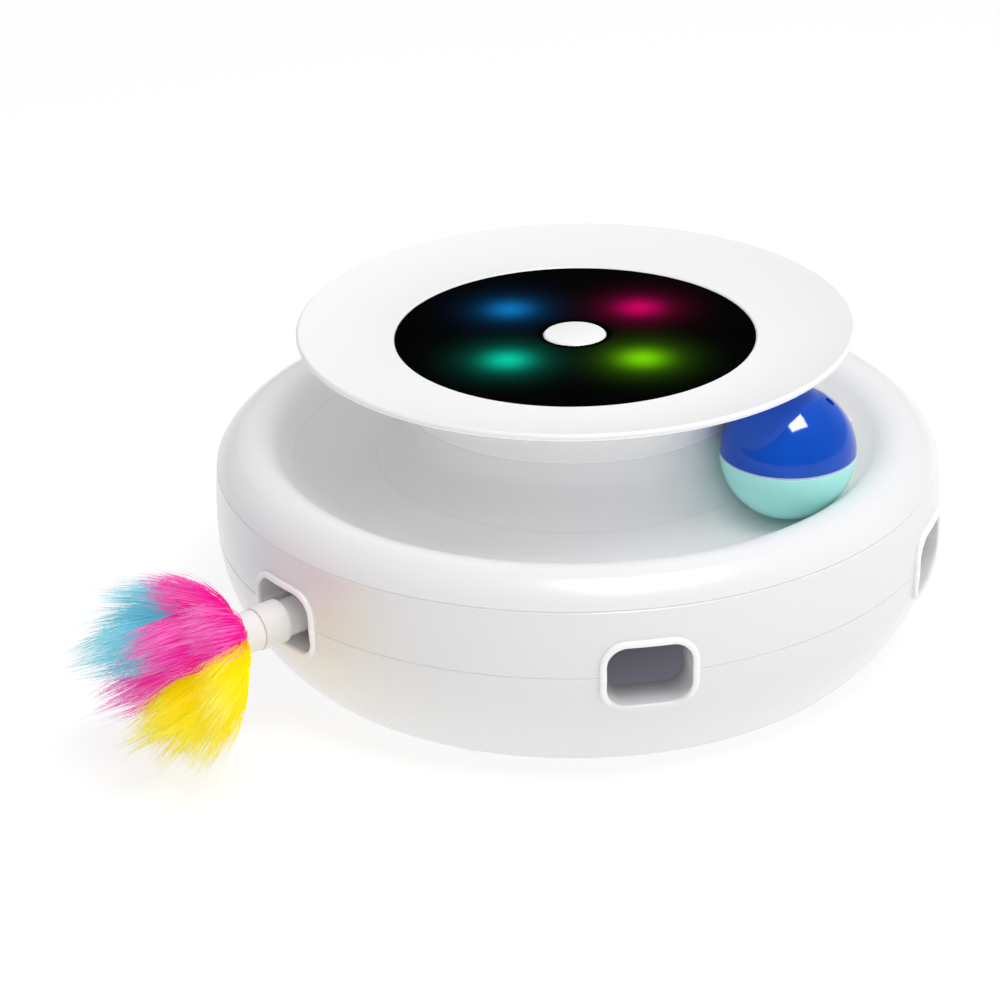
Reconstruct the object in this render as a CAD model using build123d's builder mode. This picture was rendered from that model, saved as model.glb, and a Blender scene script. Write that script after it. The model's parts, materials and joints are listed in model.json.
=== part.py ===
from build123d import *
import math
import os

os.makedirs("parts", exist_ok=True)

# Heights, millimetres, standing on z = 0: each one stands on the one before
FLOOR_Z = 1.5  # underside of the lower case
FLOOR_TOP = FLOOR_Z + 2.7
BOSS_TOP = FLOOR_TOP + 7.8
TURN_HUB_Z = BOSS_TOP + 1.0
TURN_Z = TURN_HUB_Z + 9.0  # underside of the turntable
TURN_TOP = TURN_Z + 4.0
SPINDLE_TOP = TURN_TOP + 0.6
GUIDE_FLOOR = TURN_TOP + 2.0
LIP_Z = GUIDE_FLOOR + 2.6
GUIDE_TOP = LIP_Z + 4.4
WAND_Z = GUIDE_TOP + 4.0
SEAM_Z = WAND_Z + 1.0  # parting line through the middle of the peep holes
RIM_Z = SEAM_Z + 22.0  # parting line under the rolled rim
TRACK_Z = RIM_Z + 18.3  # centre of the trough's arc
BALL_R = 21.75
HUB_TOP_Z = TRACK_Z + 1.9
PANEL_Z = TRACK_Z + BALL_R + 0.15
SAUCER_Z = PANEL_Z + 4.8

# Round case with six peep holes
BODY_R = 121.0  # widest radius, at the parting line
FLOOR_INSET = 19.5
FLOOR_R = BODY_R - FLOOR_INSET  # flat part of the underside
EDGE_Z = FLOOR_Z + 0.7
WALL = 2.6
BEVEL = 0.4  # each side of a parting line
WALL_ARC_R = 55.0  # side view of the lower wall
WALL_ARC_Z = SEAM_Z + 2.0
WALL_MID_Z = (EDGE_Z + SEAM_Z) / 2
RING_MID = (BODY_R - 0.15, SEAM_Z + 12.0)
RING_LEAN = 0.9
RING_TOP_R = BODY_R - RING_LEAN

# Peep holes, 60 degrees apart, with a raised lip and a short tunnel
HOLE_ANGLES = range(0, 360, 60)
HOLE_W = 26.4
HOLE_H = 20.4
HOLE_CORNER = 6.5
LIP = 2.2
LIP_OUT = 1.5
LIP_ROUND = 0.9
TUNNEL_L = 14.0
TUNNEL_R = BODY_R - TUNNEL_L  # inner end of each tunnel

# Track and hub
TRACK_IN = 40.4  # the trough's middle, in from the widest radius
TRACK_ROOM = 1.25  # the trough's arc over the ball's
TRACK_ARC = BALL_R + TRACK_ROOM
TRACK_R = BODY_R - TRACK_IN
RIM_IN = 1.0
RIM_R = BODY_R - RIM_IN
RIM_MID = (BODY_R - 4.4, RIM_Z + 5.0)
RIM_CROWN = (BODY_R - 8.0, RIM_Z + 7.67)  # where the rim starts to roll in
HUB_R = TRACK_R - TRACK_ARC
HUB_FLARE = 0.3
HUB_TOP_R = HUB_R + HUB_FLARE
FLANGE_W = 19.9
FLANGE_R = HUB_TOP_R - FLANGE_W
FLANGE = 2.2

# Saucer, panel and button
DRUM_OUT = 0.4
DRUM_FOOT_R = HUB_TOP_R + DRUM_OUT
DRUM_TAPER = 3.7
DRUM_R = DRUM_FOOT_R + DRUM_TAPER
DRUM_WALL = 2.4
SAUCER_OVER = 10.9  # past the middle of the track
SAUCER_R = TRACK_R + SAUCER_OVER
SAUCER_EDGE = 2.0
PANEL_R = DRUM_R - DRUM_WALL - 0.2
PANEL = 2.0
LEDGE_W = 12.4
LEDGE_R = PANEL_R - LEDGE_W
BUTTON_R = 10.4
BUTTON_Z = PANEL_Z + 0.8
BUTTON_DOME = 0.7
BUTTON_FLANGE = 1.8
STEM_R = 4.0
LIGHT_TURN = 19.75  # the square of lights is turned by this from the front
BOARD_R = LEDGE_R - 1.0
BOARD = 1.6
LIGHT_R = BUTTON_R + BUTTON_FLANGE + 0.55 * (BOARD_R - BUTTON_R - BUTTON_FLANGE)
SWITCH_H = 4.4
STEM_Z = HUB_TOP_Z + BOARD + SWITCH_H + 1.3

# Ball
BALL_WALL = 1.6
BALL_ANGLE = -13.6
BALL_GAP = 0.15
SOUND_HOLE_R = 1.7
SOUND_TILT = 54.0
SOUND_TURN = 14.75
BELL_R = 7.0
PELLET_R = 2.2

# Turret under the track
WAND_ANGLE = 240
SPINDLE_R = 5.0
RUNNING = 0.05  # radial play of a turning fit
TURN_MODULE = 1.5
TURN_INSET = 61.0  # the turntable's pitch circle, in from the widest radius
TURN_TEETH = 2 * round((BODY_R - TURN_INSET) / TURN_MODULE)
DRIVE_TEETH = 12
DRIVE_X = TURN_MODULE * (TURN_TEETH + DRIVE_TEETH) / 2
PRESSURE = 25.0
BACKLASH = 0.3
GUIDE_HALF = TURN_MODULE * TURN_TEETH / 2 - 5.0
RACK_MODULE = 1.0
RACK_TEETH = 16
PINION_U = 12.0  # rack pinion along and across the wand's line
PINION_V = 19.0
RACK_V = PINION_V - RACK_MODULE * RACK_TEETH / 2
CARRIAGE_BACK = 6.0
RACK_END = BODY_R - 19.0

# Wand, from the axis outwards
ARM_R = 6.0
ARM_END = BODY_R + 1.8
STUB_R = 4.5
STUB_END = ARM_END + 8.7
SLEEVE_R = 7.1
SLEEVE_START = ARM_END + 0.2
SLEEVE_END = SLEEVE_START + 9.4
FERRULE_R = 6.65
FERRULE_END = SLEEVE_END + 7.1
QUILL_R = 2.6

# Plumes: angle round the wand from the side that faces front, spread from the wand, length, half width
YELLOW = [(0, 38, 44, 6.8), (315, 40, 46, 7.0), (270, 37, 45, 7.0), (292, 16, 52, 6.0)]
PINK = [(45, 38, 43, 6.8), (90, 40, 43, 7.0), (225, 37, 46, 6.8), (52, 16, 53, 6.0)]
BLUE = [(135, 38, 46, 6.8), (180, 38, 48, 6.8), (172, 16, 55, 6.0)]

# Fixings and base parts
POST_R = BODY_R - 23.0
POST_ANGLES = (30, 150, 270)
POST_Z = SEAM_Z + 6.0
SAUCER_SCREW_R = LEDGE_R + 4.0
SAUCER_SCREW_ANGLES = (0, 120, 240)
BOARD_SCREW_R = BOARD_R - 4.5
BOARD_SCREW_ANGLES = (60, 180, 300)
FOOT_OUT = FLOOR_R - 9.5
FOOT_IN = FOOT_OUT - 8.0
FOOT_TOP = FLOOR_Z + 1.2
CELL_R = 9.2
CELL_L = 65.0
CELL_X = 46.0 - BODY_R
CELL_Z = FLOOR_TOP + CELL_R + 1.6
MAIN_Z = FLOOR_TOP + 8.8
MAIN_Y = (BODY_R - 50.0, BODY_R - 16.0)
MAIN_W = 56.0
PORT_Z = MAIN_Z + BOARD + 1.6
LEAD_R = 0.9


def polar(radius, angle, z=0.0):
    """Point at a radius and an angle about the vertical axis."""
    return (radius * math.cos(math.radians(angle)), radius * math.sin(math.radians(angle)), z)


def wall_r(z, out=0.0):
    """Radius of the lower wall's arc at a height, moved out by a distance."""
    return BODY_R - WALL_ARC_R + math.sqrt((WALL_ARC_R + out) ** 2 - (WALL_ARC_Z - z) ** 2)


def track_z(radius, out=0.0):
    """Height of the trough's arc at a radius, moved out by a distance."""
    return TRACK_Z - math.sqrt((TRACK_ARC + out) ** 2 - (radius - TRACK_R) ** 2)


def trough_lip(crown, lean):
    """Where an arc that leaves the crown along lean runs smoothly into the trough's arc, and that arc's top."""
    out = Vector(crown[0] - TRACK_R, crown[1] - TRACK_Z)
    normal = Vector(lean.Y, -lean.X)
    roll = (out.dot(out) - TRACK_ARC ** 2) / (2 * (TRACK_ARC + normal.dot(out)))
    middle = out - normal * roll
    lip = middle * (TRACK_ARC / (TRACK_ARC + roll))
    return (TRACK_R + lip.X, TRACK_Z + lip.Y), (TRACK_R + middle.X, TRACK_Z + middle.Y + roll)


def radial_plane(angle, radius, z):
    """Plane square to a radius: its x runs round the body and its y runs up."""
    out = Vector(*polar(1, angle))
    return Plane(origin=polar(radius, angle, z), x_dir=(-out.Y, out.X, 0), z_dir=out)


def gear_points(teeth, module, turn=0.0):
    """Outline of a spur gear with a tooth at the turn angle, thinned by the backlash."""
    pitch_r = module * teeth / 2
    base_r = pitch_r * math.cos(math.radians(PRESSURE))
    root_r = pitch_r - 1.25 * module
    radii = [root_r, max(base_r, root_r + 0.1), pitch_r, pitch_r + 0.5 * module, pitch_r + 0.95 * module]
    half = math.pi / (2 * teeth) - BACKLASH / (4 * pitch_r)

    def half_angle(radius):
        def involute(r):
            slope = math.acos(min(1.0, base_r / r))
            return math.tan(slope) - slope

        return half + involute(pitch_r) - involute(max(radius, base_r))

    points = []
    for tooth in range(teeth):
        middle = math.radians(turn) + 2 * math.pi * tooth / teeth
        rising = [(r, middle - half_angle(r)) for r in radii]
        falling = [(r, middle + half_angle(r)) for r in reversed(radii)]
        points += [(r * math.cos(a), r * math.sin(a)) for r, a in rising + falling]
    return points


def rack_points(start, end, back_v):
    """Outline of the rack: teeth at half a pitch from the pinion's line, thinned by the backlash."""
    pitch = math.pi * RACK_MODULE
    slope = math.tan(math.radians(PRESSURE))
    tip = RACK_MODULE * 0.95
    root = RACK_MODULE * 1.25
    half = pitch / 4 - BACKLASH / 4
    points = [(start, back_v), (start, RACK_V - root)]
    first = math.ceil((start + half + root * slope - PINION_U) / pitch - 0.5)
    middle = PINION_U + (first + 0.5) * pitch
    while middle + half + root * slope < end:
        points.append((middle - half - root * slope, RACK_V - root))
        points.append((middle - half + tip * slope, RACK_V + tip))
        points.append((middle + half - tip * slope, RACK_V + tip))
        points.append((middle + half + root * slope, RACK_V - root))
        middle += pitch
    return points + [(end, RACK_V - root), (end, back_v)]


def bend_radii(points):
    """Largest bend at each inner point of a lead: 0.45 of the shorter run over tan of half the turn."""
    radii = []
    for before, here, after in zip(points, points[1:], points[2:]):
        run_in = Vector(*here) - Vector(*before)
        run_out = Vector(*after) - Vector(*here)
        turn = math.radians(run_in.get_angle(run_out))
        radii.append(0.45 * min(run_in.length, run_out.length) / math.tan(turn / 2))
    return radii


TURRET = Plane(origin=(0, 0, 0), x_dir=polar(1, WAND_ANGLE), z_dir=(0, 0, 1))

# Full-length blocks and cuts for the peep holes, shared by the two shells
with BuildPart() as hole_blocks:
    for angle in HOLE_ANGLES:
        with BuildSketch(radial_plane(angle, TUNNEL_R, SEAM_Z)):
            RectangleRounded(HOLE_W + 2 * LIP, HOLE_H + 2 * LIP, HOLE_CORNER + LIP)
        extrude(amount=TUNNEL_L + 6)

with BuildPart() as hole_cuts:
    for angle in HOLE_ANGLES:
        with BuildSketch(radial_plane(angle, TUNNEL_R - 8, SEAM_Z)):
            RectangleRounded(HOLE_W, HOLE_H, HOLE_CORNER)
        extrude(amount=TUNNEL_L + 16)

# Lower half of each tunnel and lip, following the wall
LIP_LOW_Z = SEAM_Z - HOLE_H / 2 - LIP - 2
LIP_HIGH_Z = SEAM_Z + HOLE_H / 2 + LIP + 2
LIP_MID_Z = (LIP_LOW_Z + SEAM_Z) / 2
with BuildPart() as base_lips:
    with BuildSketch(Plane.XZ):
        with BuildLine():
            Polyline((wall_r(SEAM_Z, LIP_OUT), SEAM_Z), (TUNNEL_R, SEAM_Z), (TUNNEL_R, LIP_LOW_Z),
                     (wall_r(LIP_LOW_Z, LIP_OUT), LIP_LOW_Z))
            ThreePointArc((wall_r(LIP_LOW_Z, LIP_OUT), LIP_LOW_Z), (wall_r(LIP_MID_Z, LIP_OUT), LIP_MID_Z),
                          (wall_r(SEAM_Z, LIP_OUT), SEAM_Z))
        make_face()
    revolve(axis=Axis.Z)
    add(hole_blocks.part, mode=Mode.INTERSECT)
    add(hole_cuts.part, mode=Mode.SUBTRACT)
    outer = base_lips.edges().filter_by(
        lambda e: math.hypot(e.center().X, e.center().Y) > BODY_R - 1.5 and e.center().Z < SEAM_Z - 0.1)
    fillet(outer, LIP_ROUND)

# Upper half of each tunnel and lip
with BuildPart() as ring_lips:
    with BuildSketch(Plane.XZ):
        with BuildLine():
            Polyline((TUNNEL_R, SEAM_Z), (BODY_R + LIP_OUT, SEAM_Z), (RING_MID[0] + LIP_OUT, LIP_HIGH_Z),
                     (TUNNEL_R, LIP_HIGH_Z), close=True)
        make_face()
    revolve(axis=Axis.Z)
    add(hole_blocks.part, mode=Mode.INTERSECT)
    add(hole_cuts.part, mode=Mode.SUBTRACT)
    outer = ring_lips.edges().filter_by(
        lambda e: math.hypot(e.center().X, e.center().Y) > BODY_R - 1.5 and e.center().Z > SEAM_Z + 0.1)
    fillet(outer, LIP_ROUND)

# Lower case: bowl, tunnels, spindle, posts and stand-offs
BOSS_R = 9.0
POST_OUT = 4.8
SCREW_R = 1.35
SCREW_CLEAR = 1.7
SCREW_HEAD_R = 2.8
HEAD_H = 2.2
SCREW_SEAT_Z = POST_Z - 8.0
SCREW_L = 18.0
STANDOFF_X = MAIN_W / 2 - 4.0
STANDOFF_Y = (MAIN_Y[0] + 3.0, MAIN_Y[1] - 8.0)
STANDOFFS = [(x, y) for y in STANDOFF_Y for x in (-STANDOFF_X, STANDOFF_X)]
MOTOR_R = 12.2
with BuildPart() as base_case:
    with BuildSketch(Plane.XZ):
        with BuildLine():
            Polyline((0, FLOOR_TOP), (0, FLOOR_Z), (FLOOR_R, FLOOR_Z), (wall_r(EDGE_Z), EDGE_Z))
            ThreePointArc((wall_r(EDGE_Z), EDGE_Z), (wall_r(WALL_MID_Z), WALL_MID_Z),
                          (wall_r(SEAM_Z - BEVEL), SEAM_Z - BEVEL))
            Polyline((wall_r(SEAM_Z - BEVEL), SEAM_Z - BEVEL), (wall_r(SEAM_Z) - BEVEL, SEAM_Z),
                     (wall_r(SEAM_Z, -WALL), SEAM_Z))
            ThreePointArc((wall_r(SEAM_Z, -WALL), SEAM_Z), (wall_r(WALL_MID_Z, -WALL), WALL_MID_Z),
                          (wall_r(FLOOR_TOP, -WALL), FLOOR_TOP))
            Line((wall_r(FLOOR_TOP, -WALL), FLOOR_TOP), (0, FLOOR_TOP))
        make_face()
    revolve(axis=Axis.Z)
    add(base_lips.part)
    add(hole_cuts.part, mode=Mode.SUBTRACT)
    with BuildSketch(Plane.XY.offset(FLOOR_Z)):
        Circle(FOOT_OUT + 0.2)
        Circle(FOOT_IN - 0.2, mode=Mode.SUBTRACT)
    extrude(amount=FOOT_TOP - FLOOR_Z, mode=Mode.SUBTRACT)
    with BuildSketch(Plane.XY.offset(FLOOR_TOP)):
        Circle(BOSS_R)
    extrude(amount=BOSS_TOP - FLOOR_TOP)
    with BuildSketch(Plane.XY.offset(BOSS_TOP)):
        Circle(SPINDLE_R)
    extrude(amount=SPINDLE_TOP - BOSS_TOP)
    with BuildSketch(Plane.XY.offset(SPINDLE_TOP)):
        Circle(SCREW_R + RUNNING)
    extrude(amount=-12, mode=Mode.SUBTRACT)
    with BuildSketch(Plane.XY.offset(FLOOR_TOP)):
        with Locations(*[polar(POST_R, a) for a in POST_ANGLES]):
            Circle(POST_OUT)
    extrude(amount=POST_Z - FLOOR_TOP)
    with BuildSketch(Plane.XY.offset(FLOOR_Z)):
        with Locations(*[polar(POST_R, a) for a in POST_ANGLES]):
            Circle(SCREW_HEAD_R + 0.2)
    extrude(amount=SCREW_SEAT_Z - FLOOR_Z, mode=Mode.SUBTRACT)
    with BuildSketch(Plane.XY.offset(FLOOR_Z)):
        with Locations(*[polar(POST_R, a) for a in POST_ANGLES]):
            Circle(SCREW_CLEAR)
    extrude(amount=POST_Z - FLOOR_Z, mode=Mode.SUBTRACT)
    with BuildSketch(Plane.XY.offset(FLOOR_TOP)):
        with Locations(*STANDOFFS):
            Circle(3)
    extrude(amount=MAIN_Z - FLOOR_TOP)
    with BuildSketch(Plane.XY.offset(MAIN_Z)):
        with Locations(*STANDOFFS):
            Circle(1.05)
    extrude(amount=-6, mode=Mode.SUBTRACT)
    with BuildSketch(Plane.XY.offset(FLOOR_TOP)):
        with Locations((DRIVE_X, 0)):
            Circle(MOTOR_R + 2)
            Circle(MOTOR_R + 0.1, mode=Mode.SUBTRACT)
    extrude(amount=6)
    with BuildSketch(radial_plane(90, BODY_R - 21, PORT_Z)):
        RectangleRounded(9.8, 4.2, 2.0)
    extrude(amount=24, mode=Mode.SUBTRACT)
base_case.part.label = "base_case"
export_step(base_case.part, "parts/base_case.step")

# Upper ring, held between the lower case and the tray
with BuildPart() as body_ring:
    with BuildSketch(Plane.XZ):
        with BuildLine():
            Polyline((BODY_R, SEAM_Z + BEVEL), (BODY_R - BEVEL, SEAM_Z), (BODY_R - WALL, SEAM_Z),
                     (RING_MID[0] - WALL, RING_MID[1]), (RING_TOP_R - WALL, RIM_Z),
                     (RING_TOP_R - BEVEL, RIM_Z), (RING_TOP_R, RIM_Z - BEVEL))
            ThreePointArc((RING_TOP_R, RIM_Z - BEVEL), RING_MID, (BODY_R, SEAM_Z + BEVEL))
        make_face()
    revolve(axis=Axis.Z)
    add(ring_lips.part)
    add(hole_cuts.part, mode=Mode.SUBTRACT)
body_ring.part.label = "body_ring"
export_step(body_ring.part, "parts/body_ring.step")

# Track tray: rolled rim, trough, hub wall and the flange that carries the top
TRAY_WALL = 2.4
TRAY_OUT = TRACK_ARC + TRAY_WALL
HUB_IN = TRACK_R - TRAY_OUT
UNDER_MID = (RIM_MID[0] - 2.2, RIM_MID[1] - 1.4)
with BuildPart() as track_tray:
    with BuildSketch(Plane.XZ):
        with BuildLine():
            rim_start = (RIM_R, RIM_Z + BEVEL)
            rim = ThreePointArc(rim_start, RIM_MID, RIM_CROWN)
            rim_inner, rim_top = trough_lip(RIM_CROWN, rim % 1)
            under_rim = (rim_inner[0] + 1.5, track_z(rim_inner[0] + 1.5, TRAY_WALL))
            under_top = (rim_top[0], rim_top[1] - TRAY_WALL)
            TangentArc(RIM_CROWN, rim_inner, tangent=rim % 1)
            ThreePointArc(rim_inner, (TRACK_R, TRACK_Z - TRACK_ARC), (HUB_R, TRACK_Z))
            TangentArc((HUB_R, TRACK_Z), (HUB_TOP_R, HUB_TOP_Z), tangent=(0, 1))
            Polyline((HUB_TOP_R, HUB_TOP_Z), (FLANGE_R, HUB_TOP_Z), (FLANGE_R, HUB_TOP_Z - FLANGE),
                     (HUB_TOP_R - TRAY_WALL - 0.4, HUB_TOP_Z - FLANGE), (HUB_IN, TRACK_Z))
            ThreePointArc((HUB_IN, TRACK_Z), (TRACK_R, TRACK_Z - TRAY_OUT), under_rim)
            ThreePointArc(under_rim, under_top, UNDER_MID)
            Polyline(UNDER_MID, (RIM_R - WALL, RIM_Z), (RIM_R - BEVEL, RIM_Z), rim_start)
        make_face()
    revolve(axis=Axis.Z)
    with BuildSketch(Plane.XY.offset(POST_Z)):
        with Locations(*[polar(POST_R, a) for a in POST_ANGLES]):
            Circle(4.2)
    extrude(amount=track_z(POST_R, TRAY_WALL) - POST_Z + 0.6)
    with BuildSketch(Plane.XY.offset(POST_Z)):
        with Locations(*[polar(POST_R, a) for a in POST_ANGLES]):
            Circle(SCREW_R + RUNNING)
    extrude(amount=SCREW_SEAT_Z + SCREW_L + 1 - POST_Z, mode=Mode.SUBTRACT)
    with BuildSketch(Plane.XY.offset(HUB_TOP_Z - FLANGE)):
        with Locations(*[polar(SAUCER_SCREW_R, a) for a in SAUCER_SCREW_ANGLES]):
            Circle(SCREW_CLEAR)
        with Locations(*[polar(BOARD_SCREW_R, a) for a in BOARD_SCREW_ANGLES]):
            Circle(1.05)
    extrude(amount=FLANGE, mode=Mode.SUBTRACT)
track_tray.part.label = "track_tray"
export_step(track_tray.part, "parts/track_tray.step")

# Saucer: shallow dish, drum below it, ledge for the panel and screw bosses
LEDGE_Z = PANEL_Z - PANEL
SAUCER_IN_Z = PANEL_Z + 0.2
SAUCER_MID_R = (DRUM_R + SAUCER_R) / 2
DRUM_TOP_Z = LEDGE_Z - 1.8
SAUCER_SAG = 1.15  # how far the dish hangs below a straight cone
with BuildPart() as saucer:
    mid_z = (SAUCER_IN_Z + SAUCER_Z) / 2 - SAUCER_SAG
    under_z = SAUCER_Z - SAUCER_EDGE
    with BuildSketch(Plane.XZ):
        with BuildLine():
            foot = (DRUM_FOOT_R, HUB_TOP_Z + 0.3)
            drum_lean = (DRUM_R - foot[0], DRUM_TOP_Z - foot[1])
            Polyline((DRUM_FOOT_R - DRUM_WALL, HUB_TOP_Z), (DRUM_FOOT_R - 0.3, HUB_TOP_Z), foot,
                     (DRUM_R, DRUM_TOP_Z))
            TangentArc((DRUM_R, DRUM_TOP_Z), (DRUM_R + 2.4, DRUM_TOP_Z + 2), tangent=drum_lean)
            ThreePointArc((DRUM_R + 2.4, DRUM_TOP_Z + 2), (SAUCER_MID_R + 1, mid_z - SAUCER_EDGE - 0.2),
                          (SAUCER_R - 0.7, under_z - 0.2))
            ThreePointArc((SAUCER_R - 0.7, under_z - 0.2), (SAUCER_R, under_z + 0.9), (SAUCER_R - 0.9, SAUCER_Z))
            ThreePointArc((SAUCER_R - 0.9, SAUCER_Z), (SAUCER_MID_R, mid_z), (PANEL_R + 0.6, SAUCER_IN_Z))
            Polyline((PANEL_R + 0.6, SAUCER_IN_Z), (PANEL_R + 0.1, SAUCER_IN_Z - 0.4), (PANEL_R + 0.1, LEDGE_Z),
                     (LEDGE_R, LEDGE_Z), (LEDGE_R, LEDGE_Z - 2), (DRUM_R - DRUM_WALL, LEDGE_Z - 2),
                     (DRUM_FOOT_R - DRUM_WALL, HUB_TOP_Z))
        make_face()
    revolve(axis=Axis.Z)
    with BuildSketch(Plane.XY.offset(HUB_TOP_Z)):
        with Locations(*[polar(SAUCER_SCREW_R, a) for a in SAUCER_SCREW_ANGLES]):
            Circle(3.5)
    extrude(amount=LEDGE_Z - 1 - HUB_TOP_Z)
    with BuildSketch(Plane.XY.offset(HUB_TOP_Z)):
        with Locations(*[polar(SAUCER_SCREW_R, a) for a in SAUCER_SCREW_ANGLES]):
            Circle(SCREW_R + RUNNING)
    extrude(amount=8.5, mode=Mode.SUBTRACT)
saucer.part.label = "saucer"
export_step(saucer.part, "parts/saucer.step")

# Smoked panel, flush in the saucer, with the button's hole
with BuildPart() as smoked_panel:
    with BuildSketch(Plane.XY.offset(LEDGE_Z)):
        Circle(PANEL_R)
        Circle(BUTTON_R + 0.4, mode=Mode.SUBTRACT)
    extrude(amount=PANEL)
    chamfer(smoked_panel.edges().group_by(Axis.Z)[-1].sort_by(SortBy.RADIUS)[-1], 0.4)
smoked_panel.part.label = "smoked_panel"
export_step(smoked_panel.part, "parts/smoked_panel.step")

# Push button: domed cap, flange under the panel and a guided stem
CAP_FOOT_Z = LEDGE_Z - 0.3
FLANGE_FOOT_Z = CAP_FOOT_Z - 1.4
with BuildPart() as push_button:
    dome_r = ((BUTTON_R - 0.6) ** 2 + BUTTON_DOME ** 2) / (2 * BUTTON_DOME)
    with BuildSketch(Plane.XZ):
        with BuildLine():
            Polyline((0, BUTTON_Z), (0, STEM_Z), (STEM_R, STEM_Z), (STEM_R, FLANGE_FOOT_Z),
                     (BUTTON_R + BUTTON_FLANGE, FLANGE_FOOT_Z), (BUTTON_R + BUTTON_FLANGE, CAP_FOOT_Z),
                     (BUTTON_R, CAP_FOOT_Z), (BUTTON_R, BUTTON_Z - BUTTON_DOME - 0.5),
                     (BUTTON_R - 0.6, BUTTON_Z - BUTTON_DOME))
            RadiusArc((BUTTON_R - 0.6, BUTTON_Z - BUTTON_DOME), (0, BUTTON_Z), -dome_r)
        make_face()
    revolve(axis=Axis.Z)
push_button.part.label = "push_button"
export_step(push_button.part, "parts/push_button.step")

# Light board on the hub's flange
BOARD_TOP = HUB_TOP_Z + BOARD
with BuildPart() as light_board:
    with BuildSketch(Plane.XY.offset(HUB_TOP_Z)):
        Circle(BOARD_R)
        with Locations(*[polar(BOARD_SCREW_R, a) for a in BOARD_SCREW_ANGLES]):
            Circle(1.3, mode=Mode.SUBTRACT)
    extrude(amount=BOARD)
light_board.part.label = "light_board"
export_step(light_board.part, "parts/light_board.step")

# Four lights on the board, named by colour
LIGHTS = {"magenta": 45, "blue": 135, "teal": 225, "lime": 315}
for colour, angle in LIGHTS.items():
    with BuildPart() as light:
        with BuildSketch(Plane.XY.offset(BOARD_TOP)):
            with Locations(polar(LIGHT_R, angle + LIGHT_TURN)):
                Rectangle(5, 5)
        extrude(amount=1.2)
        with BuildSketch(Plane.XY.offset(BOARD_TOP + 1.2)):
            with Locations(polar(LIGHT_R, angle + LIGHT_TURN)):
                Circle(2.1)
        extrude(amount=0.5)
    light.part.label = f"light_{colour}"
    export_step(light.part, f"parts/light_{colour}.step")

# Push switch under the button
with BuildPart() as push_switch:
    with BuildSketch(Plane.XY.offset(BOARD_TOP)):
        RectangleRounded(6, 6, 0.5)
    extrude(amount=SWITCH_H - 0.9)
    with BuildSketch(Plane.XY.offset(BOARD_TOP + SWITCH_H - 0.9)):
        Circle(1.7)
    extrude(amount=0.9)
push_switch.part.label = "push_switch"
export_step(push_switch.part, "parts/push_switch.step")

# Light baffle: a well over each light and the guide for the button's stem
BAFFLE_Z = BOARD_TOP + 2.4
BAFFLE_TOP = FLANGE_FOOT_Z - 1.5
WELL_SHARE = 0.2923
WELL_R = WELL_SHARE * LIGHT_R
with BuildPart() as light_baffle:
    with BuildSketch(Plane.XY.offset(BOARD_TOP)):
        Circle(BOARD_R)
        Circle(BOARD_R - 2, mode=Mode.SUBTRACT)
    extrude(amount=BAFFLE_Z - BOARD_TOP)
    with BuildSketch(Plane.XY.offset(BAFFLE_Z)):
        Circle(BOARD_R)
        with Locations(*[polar(LIGHT_R, a + LIGHT_TURN) for a in LIGHTS.values()]):
            Circle(WELL_R, mode=Mode.SUBTRACT)
        Circle(STEM_R + RUNNING, mode=Mode.SUBTRACT)
    extrude(amount=BAFFLE_TOP - BAFFLE_Z)
    with BuildSketch(Plane.XY.offset(BAFFLE_Z)):
        Circle(5)
    extrude(amount=2.4, mode=Mode.SUBTRACT)
light_baffle.part.label = "light_baffle"
export_step(light_baffle.part, "parts/light_baffle.step")

# Screws: each set is one group of the same screw
with BuildPart() as case_screws:
    with BuildSketch(Plane.XY.offset(SCREW_SEAT_Z - HEAD_H)):
        with Locations(*[polar(POST_R, a) for a in POST_ANGLES]):
            Circle(SCREW_HEAD_R)
    extrude(amount=HEAD_H)
    with BuildSketch(Plane.XY.offset(SCREW_SEAT_Z)):
        with Locations(*[polar(POST_R, a) for a in POST_ANGLES]):
            Circle(SCREW_R)
    extrude(amount=SCREW_L)
case_screws.part.label = "case_screws"
export_step(case_screws.part, "parts/case_screws.step")

with BuildPart() as saucer_screws:
    with BuildSketch(Plane.XY.offset(HUB_TOP_Z - FLANGE - HEAD_H)):
        with Locations(*[polar(SAUCER_SCREW_R, a) for a in SAUCER_SCREW_ANGLES]):
            Circle(SCREW_HEAD_R)
    extrude(amount=HEAD_H)
    with BuildSketch(Plane.XY.offset(HUB_TOP_Z - FLANGE)):
        with Locations(*[polar(SAUCER_SCREW_R, a) for a in SAUCER_SCREW_ANGLES]):
            Circle(SCREW_R)
    extrude(amount=10)
saucer_screws.part.label = "saucer_screws"
export_step(saucer_screws.part, "parts/saucer_screws.step")

with BuildPart() as light_board_screws:
    with BuildSketch(Plane.XY.offset(BOARD_TOP)):
        with Locations(*[polar(BOARD_SCREW_R, a) for a in BOARD_SCREW_ANGLES]):
            Circle(1.9)
    extrude(amount=1.2)
    with BuildSketch(Plane.XY.offset(BOARD_TOP)):
        with Locations(*[polar(BOARD_SCREW_R, a) for a in BOARD_SCREW_ANGLES]):
            Circle(1.0)
    extrude(amount=-3.6)
light_board_screws.part.label = "light_board_screws"
export_step(light_board_screws.part, "parts/light_board_screws.step")

MAIN_TOP = MAIN_Z + BOARD
with BuildPart() as main_board_screws:
    with BuildSketch(Plane.XY.offset(MAIN_TOP)):
        with Locations(*STANDOFFS):
            Circle(1.9)
    extrude(amount=1.2)
    with BuildSketch(Plane.XY.offset(MAIN_TOP)):
        with Locations(*STANDOFFS):
            Circle(1.0)
    extrude(amount=-6.5)
main_board_screws.part.label = "main_board_screws"
export_step(main_board_screws.part, "parts/main_board_screws.step")

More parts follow.
